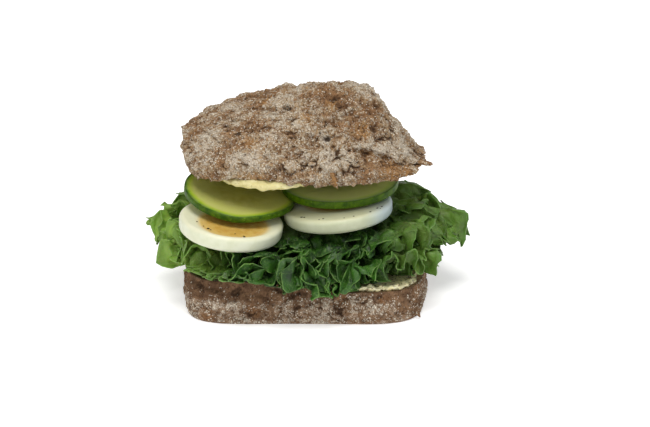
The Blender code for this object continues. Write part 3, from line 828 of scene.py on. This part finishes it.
def make_upper_roll(finish):
    middle = Vector((LID_PEAK_X, LID_CENTRE_Y, LID_CUT_HEIGHT + LID_BULGE_HEIGHT / 2))
    made = Rings()
    rows = []
    for row in range(DOME_CELLS + 1):
        line, values = [], []
        for column in range(DOME_CELLS + 1):
            place = disc_place(2 * column / DOME_CELLS - 1, 2 * row / DOME_CELLS - 1)
            share = 1 - (1 - place[0]) ** LID_EDGE_CROWDING
            point = dome_base(share, place[1], middle)
            outwards = (point - middle).normalized()
            moved = marked(point, outwards, crusted(point, outwards, 1.0))
            line.append(moved[0])
            values.append(moved[1:])
        rows.append(crust_ring(made, line, values))
    for lower, upper in zip(rows, rows[1:]):
        for i in range(DOME_CELLS):
            made.faces.append((lower[i], lower[i + 1], upper[i + 1], upper[i]))
    outline = square_outline(DOME_CELLS)
    turns = [disc_place(2 * i / DOME_CELLS - 1, 2 * j / DOME_CELLS - 1)[1] for i, j in outline]
    rings = [[rows[j][i] for i, j in outline]]
    for step in range(1, RIM_ROWS + 1):
        share = step / RIM_ROWS
        line, values = [], []
        for angle in turns:
            start = dome_base(1.0, angle, middle)
            radius = lid_radius(angle)
            turned = lid_point(angle, radius - 0.3 * LID_CUT_INSET, 0.0)
            turned.z = LID_CUT_HEIGHT + lid_bulge(angle) / 3
            turned.z += LID_LIP_CARRY * SPREAD_LIP_HEIGHT * lip_share(turned.x, turned.y)
            end = lid_point(angle, radius - LID_CUT_INSET, 0.0)
            end.z = lid_cut_height(end.x, end.y)
            point = start.lerp(turned, share).lerp(turned.lerp(end, share), share)
            outwards = (point - middle).normalized()
            moved = marked(point, outwards, crusted(point, outwards, 1 - 0.45 * share))
            ragged = noise.fractal(point / 0.0042, 0.7, 2.1, 3) - 0.25
            hanging = Vector((0.0, 0.0, 0.0013 * ragged * smoothstep(0.35, 1.0, share)))
            line.append(moved[0] + hanging)
            values.append((moved[1] - 0.10 * share, moved[2], max(moved[3], 0.35 * share)))
        rings.append(crust_ring(made, line, values))
    for share in (0.985, 0.96, 0.90, 0.80, 0.60, 0.30, 0.002):
        line = []
        for angle in turns:
            point = lid_point(angle, share * (lid_radius(angle) - LID_CUT_INSET), 0.0)
            point.z = lid_cut_height(point.x, point.y) + 0.0002
            point.z += 0.0003 * noise.noise(point / 0.002)
            line.append(point)
        crumb = smoothstep(1.0, 0.97, share) if share > 0.97 else 1.0
        rings.append(made.ring(line, floury=0.2, cavity=0.0, golden=0.0, crumb=crumb))
    made.join_all(rings)
    make_piece("roll_upper", made.points, made.faces, finish, "bread_upper", "crust", **made.values)


def make_lower_roll(finish):
    middle = Vector((0, 0, BASE_CUT_HEIGHT / 2))
    profile = (
        (0.0, BASE_FOOT_INSET, 0.0),
        (0.06, 0.0006, 0.3),
        (0.20, 0.0002, 0.8),
        (0.42, 0.0, 1.0),
        (0.64, 0.0002, 1.0),
        (0.84, 0.0006, 0.8),
        (1.0, BASE_CUT_INSET, 0.0),
    )
    shares, insets, amounts = zip(*profile)
    turns = full_turn(BASE_SEGMENTS)
    made = Rings()
    rings = []
    for share in (0.002, 0.30, 0.60, 0.80, 0.92, 0.98):
        foot = [polar(angle, share * (base_radius(angle) - BASE_FOOT_INSET)) for angle in turns]
        rings.append(made.ring(foot, floury=0.45, cavity=0.1, golden=0.0, crumb=0.0))
    for step in range(BASE_SIDE_ROWS + 1):
        share = step / BASE_SIDE_ROWS
        inset = float(np.interp(share, shares, insets))
        amount = float(np.interp(share, shares, amounts))
        line, values = [], []
        for angle in turns:
            radius = base_radius(angle) - inset
            x, y = radius * math.cos(angle), radius * math.sin(angle)
            point = Vector((x, y, share * (BASE_CUT_HEIGHT + rim_rise(x, y))))
            outwards = (point - middle).normalized()
            point = point + outwards * crust_relief(point) * amount
            fine = min(1.0, 0.25 + amount) * smoothstep(0.0, 0.03, share)
            moved, floury, cavity, golden = crusted(point, outwards, fine, 0.0013)
            moved.z = max(moved.z, 0.0)
            raised = smoothstep(0.0, RIM_RISE, rim_rise(x, y))
            level = share + 0.16 * noise.noise(point / 0.006)
            bare = smoothstep(blend(0.74, 0.42, raised), blend(1.0, 0.80, raised), level)
            bare *= blend(0.45, 1.0, raised)
            # darker towards the right, through a lower flour value
            floury -= 0.22 * smoothstep(0.005, 0.040, x) - 0.08
            line.append(moved)
            floury -= 0.85 * bare
            # the bare band also takes some painted shade
            values.append((floury, max(cavity, 0.42 * bare), max(golden, 0.35 * bare)))
        rings.append(crust_ring(made, line, values))
    inner = ((0.985, 0.95), (0.965, 0.86), (RIM_SHARE, 0.75), (0.91, 0.36), (RIM_INNER_SHARE, 0.0))
    for share, rise in inner + ((0.70, 0.0), (0.40, 0.0), (0.002, 0.0)):
        line = []
        for angle in turns:
            radius = share * (base_radius(angle) - BASE_CUT_INSET)
            x, y = radius * math.cos(angle), radius * math.sin(angle)
            height = BASE_CUT_HEIGHT + rise * rim_rise(x, y) - 0.0002
            line.append(Vector((x, y, height + 0.0003 * noise.noise(Vector((x, y, 0.0)) / 0.002))))
        rings.append(made.ring(line, floury=0.3, cavity=0.0, golden=0.3, crumb=1.0))
    made.join_all(rings)
    make_piece("roll_lower", made.points, made.faces, finish, "bread_lower", "crust", **made.values)


# Spread


def make_spread(name, node, finish, outline, low, high, ragged, lumps):
    """A lumpy layer between two height functions, with a soft ragged edge."""
    flat = (0.002, 0.25, 0.50, 0.70, 0.82, 0.90, 0.95)
    profile = [(share, 0.0) for share in flat]
    for step in range(1, 10):
        turn = math.pi * step / 10
        profile.append((0.965 + 0.035 * math.sin(turn), 0.5 - 0.5 * math.cos(turn)))
    profile += [(share, 1.0) for share in reversed(flat)]
    made = Rings()
    rings = []
    for share, up in profile:
        line = []
        for angle in full_turn(SPREAD_SEGMENTS):
            x, y = outline(angle)
            wander = 1 + ragged * noise.fractal(Vector((x, y, 0.0)) / 0.005, 0.8, 2.0, 3)
            x, y = x * share * wander, y * share * wander
            bottom, top = low(x, y), high(x, y)
            lump = lumps * noise.noise(Vector((x, y, up * 0.01)) / 0.0028)
            line.append(Vector((x, y, blend(bottom, top, up) + lump * (1 if 0 < up < 1 else 0.4))))
        rings.append(made.ring(line))
    made.join_all(rings)
    make_piece(name, made.points, made.faces, finish, node, "spread")


def make_spreads():
    butter = spread_finish(
        "butter", rgb(228, 219, 166), rgb(214, 202, 138), rgb(186, 174, 112), 0.62
    )
    crumbed = spread_finish(
        "crumbed spread", rgb(244, 236, 190), rgb(224, 212, 160), rgb(110, 80, 50), 0.55
    )

    def upper_low(x, y):
        share = lip_share(x, y)
        drip = 0.0006 * share * max(0.0, noise.noise(Vector((x, y, 0.0)) / 0.0055))
        return LID_CUT_HEIGHT - CLEARANCE - UPPER_SPREAD_THICKNESS - SPREAD_LIP_SAG * share - drip

    def lower_high(x, y):
        lumps = SPREAD_LUMP_HEIGHT * noise.noise(Vector((x, y, 0.05)) / SPREAD_LUMP_SIZE)
        return BASE_CUT_HEIGHT + CLEARANCE + LOWER_SPREAD_THICKNESS + lumps

    make_spread(
        "butter_upper", "spread_upper", butter, upper_spread_outline,
        upper_low, lambda x, y: lid_cut_height(x, y) - CLEARANCE, 0.016, 0.0010,
    )
    make_spread(
        "butter_lower", "spread_lower", crumbed, lower_spread_outline,
        lambda x, y: BASE_CUT_HEIGHT + CLEARANCE / 2, lower_high, 0.014, 0.0022,
    )


# Egg and cucumber


def disc_profile(half, edge_round, steps):
    """Inset and height round a disc's edge, from its lower to its upper face."""
    profile = []
    for side in (-1, 1):
        for step in range(steps + 1):
            turn = math.pi / 2 * (step / steps if side > 0 else 1 - step / steps)
            inset = edge_round * (1 - math.cos(turn))
            height = side * (half - edge_round * (1 - math.sin(turn)))
            profile.append((inset, height))
    return profile


EGG_ROUND = 0.0019
YOLK_SINK = 0.00012


def egg_outline(part, angle):
    wobble = round_noise(angle, 1, part.x * 300)
    squash = 1 + 0.014 * wobble
    return part.radius_x * squash * math.cos(angle), part.radius_y * squash * math.sin(angle)


def dimmed(part, line):
    """Painted shade and cool light on the right front slice: greyer, and bluer at its right end."""
    if part.name != "front_right":
        return {"grey": 0.0, "cool": 0.0}
    return {"grey": 1.0, "cool": [smoothstep(0.024, 0.038, point.x) for point in line]}


def make_egg(part, white, yolk):
    centre = Vector((*YOLK_OFFSETS[part.name], 0.0))
    half = part.thickness / 2
    lean, middle = stance(part)
    turns = full_turn(DISC_SEGMENTS)
    made = Rings()
    rings = []

    def face_ring(share, up):
        line, stain = [], []
        for angle in turns:
            x, y = egg_outline(part, angle)
            outer = Vector((x, y, 0.0)) * (1 - (EGG_ROUND + 0.0007) / math.hypot(x, y))
            inner = centre + polar(angle) * YOLK_RADIUS
            flat = inner.lerp(outer, share)
            swell = 0.0007 * noise.noise(flat / 0.007 + Vector((part.x * 99, 0, up)))
            swell = swell * share * (1 - share)
            point = flat + Vector((0, 0, up * (half - YOLK_SINK * (1 - share)) + swell))
            line.append(middle + lean @ point)
            away = (flat - centre).length - YOLK_RADIUS
            stain.append((1 - smoothstep(0.0, 0.0036, away)) ** 1.4)
        face = 1.0 if up > 0 else 0.4
        rings.append(made.ring(line, stain=stain, face=face, **dimmed(part, line)))

    shares = (0.0, 0.02, 0.12, 0.3, 0.5, 0.75, 0.95)
    for share in shares:
        face_ring(share, -1)
    for inset, height in disc_profile(half, EGG_ROUND, 8):
        line = []
        for angle in turns:
            x, y = egg_outline(part, angle)
            barrel = 0.0004 * (height / half) ** 2
            taper = 0.0005 * (0.5 - 0.5 * height / half)
            reach = 1 - (inset + barrel + taper) / math.hypot(x, y)
            line.append(middle + lean @ Vector((x * reach, y * reach, height)))
        face = smoothstep(0.6, 1.0, height / half)
        rings.append(made.ring(line, stain=0.0, face=face, **dimmed(part, line)))
    for share in reversed(shares):
        face_ring(share, 1)
    made.join_all(rings + [rings[0]])
    make_piece(
        "egg_" + part.name, made.points, made.faces, white, "egg_white_" + part.name,
        "egg_white", **made.values,
    )
    made = Rings()
    rings = []
    for up in (-1, 1):
        shares = (0.004, 0.3, 0.6, 0.8, 0.92, 0.985, 1.0)
        shares = shares if up < 0 else shares[::-1]
        for share in shares:
            line = []
            for angle in turns:
                flat = centre + polar(angle, share * YOLK_RADIUS)
                grain = 0.00024 * noise.noise(flat / 0.003 + Vector((0, part.x * 77, up)))
                grain = grain * (1 - share**4)
                dip = 0.0002 * (1 - share)
                rise = Vector((0, 0, up * (half - YOLK_SINK - dip) + grain))
                line.append(middle + lean @ (flat + rise))
            rings.append(made.ring(line, edge=share))
    made.join_all(rings)
    make_piece(
        "yolk_" + part.name, made.points, made.faces, yolk, "egg_yolk_" + part.name,
        "egg_yolk", **made.values,
    )


def seed_value(x, y, count=11):
    """1 on a seed: drops that point outwards in the slice's wet middle."""
    radius, angle = math.hypot(x, y), math.atan2(y, x)
    best = 0.0
    for i in range(count):
        for ring, start in ((0.30, 0.0), (0.46, 0.5)):
            at = 2 * math.pi * (i + start + 0.22 * math.sin(5.1 * i + 9 * start)) / count
            turn = (angle - at + math.pi) % (2 * math.pi) - math.pi
            across = turn * radius / 0.026 / 0.040
            along = (radius / 0.026 - ring) / 0.085
            best = max(best, math.exp(-across * across - along * along))
    return best


def make_cucumber(part, finish):
    half = part.thickness / 2
    lean, middle = stance(part)
    turns = full_turn(DISC_SEGMENTS)
    made = Rings()
    rings = []

    def add(share, inset, height, side):
        line, seeds = [], []
        for angle in turns:
            ridge = 1 + 0.004 * round_noise(angle, 3, part.x * 200)
            x = (part.radius_x - inset) * share * ridge * math.cos(angle)
            y = (part.radius_y - inset) * share * ridge * math.sin(angle)
            seed = seed_value(x, y) if abs(height) == half and share < 0.7 else 0.0
            swell = 0.00012 * noise.noise(Vector((x, y, height * 40)) / 0.004) * (share < 0.97)
            z = height - part.twist * max(0.0, x) * y + swell
            line.append(middle + lean @ Vector((x, y, z)))
            seeds.append(seed)
        shaded = float(part.name == "front_right")
        rings.append(made.ring(line, ring=share, side=side, seed=seeds, shaded=shaded))

    faces = [0.004] + [i / 40 for i in range(2, 39, 2)] + [0.965, 0.975]
    for share in faces:
        add(share, 0.0, -half, 0.0)
    for inset, height in disc_profile(half, 0.0005, 4):
        add(1.0, inset, height, 1.0 if abs(height) < half - 0.0001 else 0.5)
    for share in reversed(faces):
        add(share, 0.0, half, 0.0)
    made.join_all(rings)
    name = "cucumber_slice_" + part.name
    make_piece(
        name, made.points, made.faces, finish, "cucumber_" + part.name, "cucumber", **made.values
    )


# Lettuce


def tongue_top(x):
    """Height that a tongue of leaf sinks to, lower towards its tip."""
    if x > 0:
        return blend(0.0444, 0.0354, smoothstep(0.055, 0.066, x))
    return blend(0.0425, 0.0320, smoothstep(0.060, 0.070, -x))


def drawn_in(out):
    """How far a tongue is drawn in, from its rear side to its front."""
    if out.x < 0:
        return blend(*TONGUE_DRAWN_LEFT, smoothstep(*TONGUE_LEFT_TURN, -out.y))
    return blend(*TONGUE_DRAWN_RIGHT, smoothstep(*TONGUE_RIGHT_TURN, -out.y))


def zigzag(angle, count, sway, frequency, seed):
    """Uneven teeth round the outline, from 0 to 1, with this many in a full turn."""
    return abs((count * angle + sway * round_noise(angle, frequency, seed)) / math.pi % 2 - 1)


def flat_line(sheet, out, inner, start, phase, lift):
    """The flat part of a radial line, crumpled towards its frill."""
    line = []
    for i in range(FLAT_ROWS):
        share = i / (FLAT_ROWS - 1)
        radius = inner + (start - inner) * share
        x, y = radius * out.x, radius * out.y
        low = floor(x, y)
        height = roof(x, y) - low
        spot = Vector((x, y, sheet.seed))
        crumple = 0.0070 * noise.noise(spot / 0.0130)
        crumple += 0.0065 * (0.22 - abs(noise.noise(spot / 0.0100 + Vector((0.0, 0.0, 7.0)))))
        crumple += 0.0030 * noise.noise(spot / 0.0046)
        crumple += 0.0010 * math.sin(phase)
        z = low + sheet.level * height + crumple * smoothstep(0.45, 1.0, share) + lift
        line.append(Vector((x, y, max(min(z, roof(x, y) + lift), low + CLEARANCE))))
    return line


def lowest_place(point, angle, tongue):
    """How low the frill may hang: over the roll's rim at the front, less so at the left."""
    at_front = angle > math.pi
    sag = SAG_DEPTH * math.exp(-(((point.x - SAG_X) / SAG_WIDTH) ** 2)) * at_front
    lowest = floor(point.x, point.y) + LEAST_HEIGHT - sag - tongue * TONGUE_OVERHANG
    return lowest + LEFT_LIFT * smoothstep(0.010, 0.024, -point.x) * (1 - tongue) * at_front


def frill_share(row):
    """Share of the frill's length at a row: the rows crowd towards its edge."""
    return 1 - (1 - row / FRILL_ROWS) ** 1.5


def leaf_column(layer, sheet, angle, lift):
    """Points of one radial line of a sheet: flat between the slices, then frilled at its edge."""
    seed = sheet.seed
    roll_edge = rounded_square(angle, BASE_HALF_WIDTH, BASE_HALF_DEPTH, LEAF_SQUARENESS)
    out = polar(angle)
    reach = layer_reach(layer, angle) + uneven(angle, 10.0 * layer.share, EDGE_UNEVENNESS)
    tongue = smoothstep(TONGUE_START, TONGUE_END, layer_reach(layer, angle))
    reach += blend(sheet.front, sheet.side, tongue) - drawn_in(out) * tongue
    phase = 2 * sheet.lobes * angle + LOBE_SWAY * round_noise(angle, 3.0, seed)
    phase += LOBE_STRAY * round_noise(angle, 8.0, seed + 2)
    whole = sheet.length * (1 + 0.10 * tongue)
    length = whole * (1 + 0.30 * round_noise(angle, 7.0, seed + 1))
    notch = zigzag(angle, NOTCHES, 2.6, 4.0, 3 + 10 * layer.share)
    length += blend(NOTCH_FRONT, NOTCH_SIDE, tongue) * (notch**1.3 - 0.52)
    tooth = zigzag(angle, TEETH, 5.5, 9.0, seed + 5)
    length += blend(TOOTH_FRONT, TOOTH_SIDE, tongue) * (tooth - 0.55)
    nib = zigzag(angle, NIBS, 7.0, 18.0, seed + 15)
    length += blend(NIB_FRONT, NIB_SIDE, tongue) * (nib - 0.5)
    start = roll_edge + reach - FRILL_FOLD * whole
    inner = LEAF_INNER_SHARE * roll_edge if sheet is SHEETS[layer.name][0] else 0.55 * start
    along = Vector((-out.y, out.x, 0.0))
    up = Vector((0.0, 0.0, 1.0))
    line = flat_line(sheet, out, inner, start, phase, lift)
    slope = (line[-1].z - line[-2].z) / (line[-1] - line[-2]).xy.length
    slope = min(max(slope, -STEEPEST), STEEPEST)
    hang = HANG_FRONT - HANG_TO_LEFT * math.cos(angle) + HANG_TO_REAR * max(0.0, math.sin(angle))
    droop = sheet.droop * layer.droop * hang * smoothstep(DROOP_START, DROOP_END, reach) / whole
    mean = math.radians(sheet.curl) * (1 - 0.8 * tongue)
    swing = math.radians(sheet.swing) * (0.9 + 0.6 * round_noise(angle, 6.0, seed + 6))
    stray = CURL_STRAY * round_noise(angle, 12.0, seed + 7)
    point = line[-1]
    lowest = lowest_place(point, angle, tongue)
    strength = 0.9 + 0.6 * round_noise(angle, 8.0, seed + 9)
    fine = 2 * FRILLS * angle + 5.0 * round_noise(angle, 10.0, seed + 11)
    tiny = 2 * CRIMPS * angle + 4.0 * round_noise(angle, 15.0, seed + 13)
    for i in range(1, FRILL_ROWS + 1):
        share = frill_share(i)
        step = length * (share - frill_share(i - 1))
        drift = 2.2 * noise.noise(Vector((9.0 * out.x, 9.0 * out.y, seed + 1.6 * share)))
        bend = mean + swing * math.sin(phase + drift * share) + stray
        bend = min(max(bend * blend(1.0, 0.72, tongue), CURL_LEAST), CURL_MOST)
        turn = bend * share**1.1
        point = point + (out * math.cos(turn) - up * math.sin(turn)) * step
        point = point + up * step * (blend(slope, 0.0, min(1.0, 2 * share)) - droop)
        normal = out * math.sin(turn) + up * math.cos(turn)
        swell = SWELL * strength * smoothstep(0.10, 0.9, share)
        crimp = blend(CRIMP_FRONT, CRIMP_SIDE, tongue) * strength * smoothstep(0.45, 1.0, share)
        ripple = math.cos(fine + 2.6 * share + 1.5 * drift)
        moved = point + normal * (swell * ripple + crimp * math.cos(tiny + drift))
        slide = -LOBE_SLIDE * share * share * math.sin(2 * phase + 1.2 * share + drift)
        slide += -0.55 * swell * math.sin(2 * fine + 4.2 * share) - 0.6 * crimp * math.sin(2 * tiny)
        moved = moved + along * slide
        rough = smoothstep(0.0, 0.3, share)
        spread = noise.noise_vector((moved + Vector((0.0, 0.0, 0.1 * seed))) / WAVE_SIZE)
        moved = moved + spread * WAVE_HEIGHT * rough
        small = noise.noise_vector((moved + Vector((0.1 * seed, 0.0, 0.0))) / WAVELET_SIZE)
        moved = moved + small * WAVELET_HEIGHT * rough
        ceiling = roof(moved.x, moved.y) + lift
        if moved.z > ceiling:
            moved.z = ceiling - 0.1 * (moved.z - ceiling)
        if moved.z < lowest:
            moved.z = lowest + 0.25 * (moved.z - lowest)
        moved.z -= TIP_DROP * smoothstep(TIP_DROP_START, TIP_DROP_END, moved.x)
        rise = moved.z + 0.34 * moved.y - tongue_top(moved.x)
        if rise > 0:
            moved.z -= 0.75 * rise * smoothstep(0.049, 0.057, abs(moved.x))
        line.append(moved)
    return line


def sheet_mesh(grid):
    """Both faces and the rim of a thin sheet through a grid, and how far inside its edge it is."""
    points = np.array([[tuple(point) for point in line] for line in grid]).transpose(1, 0, 2)
    rows, count = points.shape[:2]
    along, outward = np.gradient(points, axis=1), np.gradient(points, axis=0)
    normals = np.cross(outward, along)
    normals /= np.linalg.norm(normals, axis=2, keepdims=True) + 1e-12
    half = np.interp(np.arange(rows), (0, FLAT_ROWS, rows - 1), (0.00045, 0.00038, 0.00020))
    half = half[:, None, None]
    upper, lower = points + normals * half, points - normals * half
    index = np.arange(rows * count).reshape(rows, count)
    quads = np.stack([index[:-1, :-1], index[:-1, 1:], index[1:, 1:], index[1:, :-1]], axis=-1)
    quads = quads.reshape(-1, 4)
    below = rows * count
    loop = [*index[0, :-1], *index[:-1, -1], *index[-1, :0:-1], *index[:0:-1, 0]]
    rim = [(a, b, b + below, a + below) for b, a in zip(loop, loop[1:] + loop[:1])]
    faces = np.concatenate([quads[:, ::-1], quads + below, np.array(rim)])
    spans = np.linalg.norm(np.diff(points, axis=0), axis=2)
    out = np.concatenate([np.zeros((1, count)), np.cumsum(spans, axis=0)])
    inset = out[-1] - out
    both = np.concatenate([upper.reshape(-1, 3), lower.reshape(-1, 3)])
    return both, faces, np.tile(inset.ravel(), 2)


def make_leaf(layer, side, start, finish):
    """A half round leaf of a few crowded sheets, laid over its neighbour at one end."""
    points, faces, insets = [], [], []
    for sheet in SHEETS[layer.name]:
        grid = []
        for column in range(LEAF_COLUMNS + 1):
            share = column / LEAF_COLUMNS
            angle = start - LEAF_LAP + (math.pi + 2 * LEAF_LAP) * share
            lift = LEAF_LIFT * (smoothstep(0.80, 1.0, share) - smoothstep(-0.20, 0.0, -share))
            grid.append(leaf_column(layer, sheet, angle, lift))
        made, quads, inset = sheet_mesh(grid)
        faces.append(quads + sum(len(done) for done in points))
        points.append(made)
        insets.append(inset)
    points = np.concatenate(points)
    # Lighter green towards the left end, and painted light towards the right end.
    fresh = np.clip((-points[:, 0] - 0.030) / 0.030, 0.0, 1.0)
    fresh += 0.40 * np.clip((points[:, 0] - 0.030) / 0.020, 0.0, 1.0)
    heart = np.clip((0.034 - np.hypot(points[:, 0], points[:, 1])) / 0.018, 0.0, 1.0)
    make_piece(
        f"leaf_{layer.name}_{side}", points, np.concatenate(faces), finish,
        f"lettuce_{layer.name}_{side}", "lettuce",
        inset=np.concatenate(insets), fresh=fresh, heart=heart,
    )


# Pepper


def make_pepper(finish):
    """Cracked pepper on the egg slices, as one mesh of small angular grains.

    Each grain has its place on the slice in metres, and its half width in millimetres.
    """
    spots = {
        "front_left": (
            (-0.0098, -0.0142, 0.45), (-0.0088, -0.0152, 0.30), (0.0062, -0.0190, 0.40),
            (0.0058, -0.0182, 0.30), (-0.0150, -0.0080, 0.28), (0.0020, -0.0166, 0.22),
            (-0.0120, -0.0120, 0.25),
        ),
        "front_right": (
            (-0.0158, -0.0142, 0.42), (-0.0146, -0.0148, 0.32), (-0.0080, -0.0196, 0.28),
            (-0.0062, -0.0190, 0.36), (0.0072, -0.0196, 0.34), (0.0146, -0.0160, 0.34),
            (0.0178, -0.0122, 0.42), (0.0196, -0.0106, 0.36), (0.0190, -0.0128, 0.22),
            (0.0030, -0.0206, 0.22),
        ),
        "rear_left": ((0.0060, 0.0150, 0.36), (-0.0070, 0.0172, 0.40), (0.0120, 0.0110, 0.30)),
        "rear_right": ((-0.0040, 0.0180, 0.38), (0.0100, 0.0150, 0.36), (-0.0130, 0.0110, 0.28)),
    }
    points, faces = [], []
    for part in EGG_SLICES:
        lean, middle = stance(part)
        for number, (x, y, size) in enumerate(spots[part.name]):
            base = len(points)
            at = Vector((x, y, part.thickness / 2 - 0.00002))
            for k in range(6):
                turn = 2 * math.pi * k / 6 + number
                angular = noise.noise(Vector((k * 1.7, number * 2.3, x * 900)))
                reach = 2.0 * size * MM * (0.8 + 0.5 * angular)
                flat = Vector((math.cos(turn) * reach, math.sin(turn) * reach * 0.7, 0.0))
                points.append(middle + lean @ (at + flat))
                points.append(middle + lean @ (at + flat * 0.7 + Vector((0, 0, 0.55 * size * MM))))
            points.append(middle + lean @ (at + Vector((0, 0, 0.75 * size * MM))))
            points.append(middle + lean @ (at - Vector((0, 0, 0.0001))))
            for k in range(6):
                a, b = base + 2 * k, base + 2 * ((k + 1) % 6)
                faces += [(a, b, b + 1), (a, b + 1, a + 1)]
                faces += [(a + 1, b + 1, base + 12), (b, a, base + 13)]
    make_piece("pepper_grains", points, faces, finish, None, "egg_white")


# Loose bits of crust


def make_flake(name, finish, centre, sizes, lean, seed, golden):
    """A torn flake of crust: a thin rounded wedge with a ragged outline."""
    turned = Euler([math.radians(value) for value in lean]).to_matrix()
    made = Rings()
    rings = []
    for step in range(FLAKE_ROWS + 1):
        up = math.pi * step / FLAKE_ROWS
        line = []
        for angle in full_turn(FLAKE_SEGMENTS):
            ball = polar(angle, math.sin(up), -math.cos(up))
            rough = 1 + 0.30 * noise.fractal(ball * 1.8 + Vector((seed, 0, 0)), 0.8, 2.1, 4)
            point = Vector((ball.x * sizes[0], ball.y * sizes[1], ball.z * sizes[2])) * rough * MM
            line.append(Vector(centre) * MM + turned @ point)
        rings.append(made.ring(line, floury=0.35, cavity=0.0, golden=golden, crumb=0.0))
    made.join_all(rings)
    make_piece(name, made.points, made.faces, finish, None, "crust", **made.values)


# Stage, light and camera

VIEW_ELEVATION = math.radians(19)
VIEW_DISTANCE = 1.5
VIEW_TARGET = Vector((0.0088, 0.0, 0.0340))
VIEW_WIDTH = 0.2925
SENSOR_WIDTH = 36.0


def make_stage():
    pale = plain_finish("pale floor", rgb(246, 246, 246), rgb(248, 248, 248), 0.05, 0.9, 0.00002)
    glow = pale.node_tree.nodes["Principled BSDF"]
    glow.inputs["Emission Color"].default_value = (1.0, 1.0, 1.0, 1.0)
    glow.inputs["Emission Strength"].default_value = 0.40
    mesh = bpy.data.meshes.new("floor")
    size, cells = 4.0, 8
    steps = [size * (i / cells - 0.5) for i in range(cells + 1)]
    points = [(x, y, 0.0) for y in steps for x in steps]
    corners = [r * (cells + 1) + c for r in range(cells) for c in range(cells)]
    faces = [(k, k + 1, k + cells + 2, k + cells + 1) for k in corners]
    mesh.from_pydata(points, [], faces)
    mesh.materials.append(pale)
    ground = bpy.data.objects.new("floor", mesh)
    bpy.context.scene.collection.objects.link(ground)


def add_area_light(name, place, size, power, colour):
    data = bpy.data.lights.new(name, "AREA")
    data.shape = "DISK"
    data.size = size
    data.energy = power
    data.color = colour
    light = bpy.data.objects.new(name, data)
    light.location = place
    towards = Vector((0.0, 0.0, 0.04)) - Vector(place)
    light.rotation_euler = towards.to_track_quat("-Z", "Y").to_euler()
    bpy.context.scene.collection.objects.link(light)


def make_light():
    add_area_light("soft overhead", (-0.08, -0.38, 1.2), 0.8, 11.0, (1.0, 0.99, 0.97))
    add_area_light("front fill", (-0.5, -1.3, 0.55), 0.9, 3.0, (1.0, 1.0, 1.0))
    add_area_light("cool right", (1.1, -0.35, 0.45), 0.5, 1.5, (0.78, 0.88, 1.0))
    world = bpy.context.scene.world or bpy.data.worlds.new("studio")
    bpy.context.scene.world = world
    world.use_nodes = True
    sky = world.node_tree.nodes["Background"]
    sky.inputs["Color"].default_value = (1.0, 1.0, 1.0, 1.0)
    sky.inputs["Strength"].default_value = 0.42


def make_camera():
    data = bpy.data.cameras.new("camera")
    data.sensor_fit = "HORIZONTAL"
    data.sensor_width = SENSOR_WIDTH
    data.lens = SENSOR_WIDTH * VIEW_DISTANCE / VIEW_WIDTH
    data.clip_end = 20.0
    back = Vector((0.0, -math.cos(VIEW_ELEVATION), math.sin(VIEW_ELEVATION)))
    camera = bpy.data.objects.new("camera", data)
    camera.location = VIEW_TARGET + VIEW_DISTANCE * back
    camera.rotation_euler = (math.pi / 2 - VIEW_ELEVATION, 0.0, 0.0)
    bpy.context.scene.collection.objects.link(camera)
    bpy.context.scene.camera = camera


def main():
    scene = bpy.context.scene
    scene.view_settings.view_transform = "Standard"
    scene.view_settings.look = "None"
    make_camera()
    make_stage()
    make_light()

    crust = crust_finish(
        "floury rye crust", rgb(160, 122, 86), rgb(128, 95, 67), rgb(192, 168, 130),
        rgb(182, 136, 84), 0.025,
    )
    # The lower crust is a darker copy of the upper crust: painted shade in its darker colours, and
    # less flour in its cover of 0.0.
    shaded_lower_crust = crust_finish(
        "lower rye crust", rgb(142, 110, 82), rgb(112, 84, 62), rgb(176, 152, 126),
        rgb(154, 108, 68), 0.0,
    )
    make_upper_roll(crust)
    make_lower_roll(shaded_lower_crust)
    make_spreads()
    white, yolk, cucumber = egg_white_finish(), yolk_finish(), cucumber_finish()
    for part in EGG_SLICES:
        make_egg(part, white, yolk)
    for part in CUCUMBER_SLICES:
        make_cucumber(part, cucumber)
    low, high = LAYERS
    green = leaf_finish("curly lettuce", rgb(15, 39, 8), rgb(48, 92, 19), rgb(138, 174, 90))
    make_leaf(low, "rear", 0.0, green)
    make_leaf(low, "front", math.pi, green)
    make_leaf(high, "left", math.pi / 2, green)
    make_leaf(high, "right", 3 * math.pi / 2, green)
    make_pepper(
        plain_finish("cracked pepper", rgb(26, 20, 15), rgb(62, 48, 36), 0.0004, 0.7, 0.0002)
    )
    make_flake("rim_flake", crust, (12.9, -43.6, 64.4), (1.5, 0.9, 3.9), (12, -14, 0), 2.0, 0.8)
    make_flake("corner_flake", crust, (53.0, -15.0, 62.9), (3.3, 2.2, 0.9), (0, 8, -8), 5.0, 0.2)
    make_flake(
        "crumb_shard", shaded_lower_crust, (49.8, -44.0, 2.4), (0.7, 0.6, 2.0), (20, -30, 0), 5.0, 0.5
    )


main()
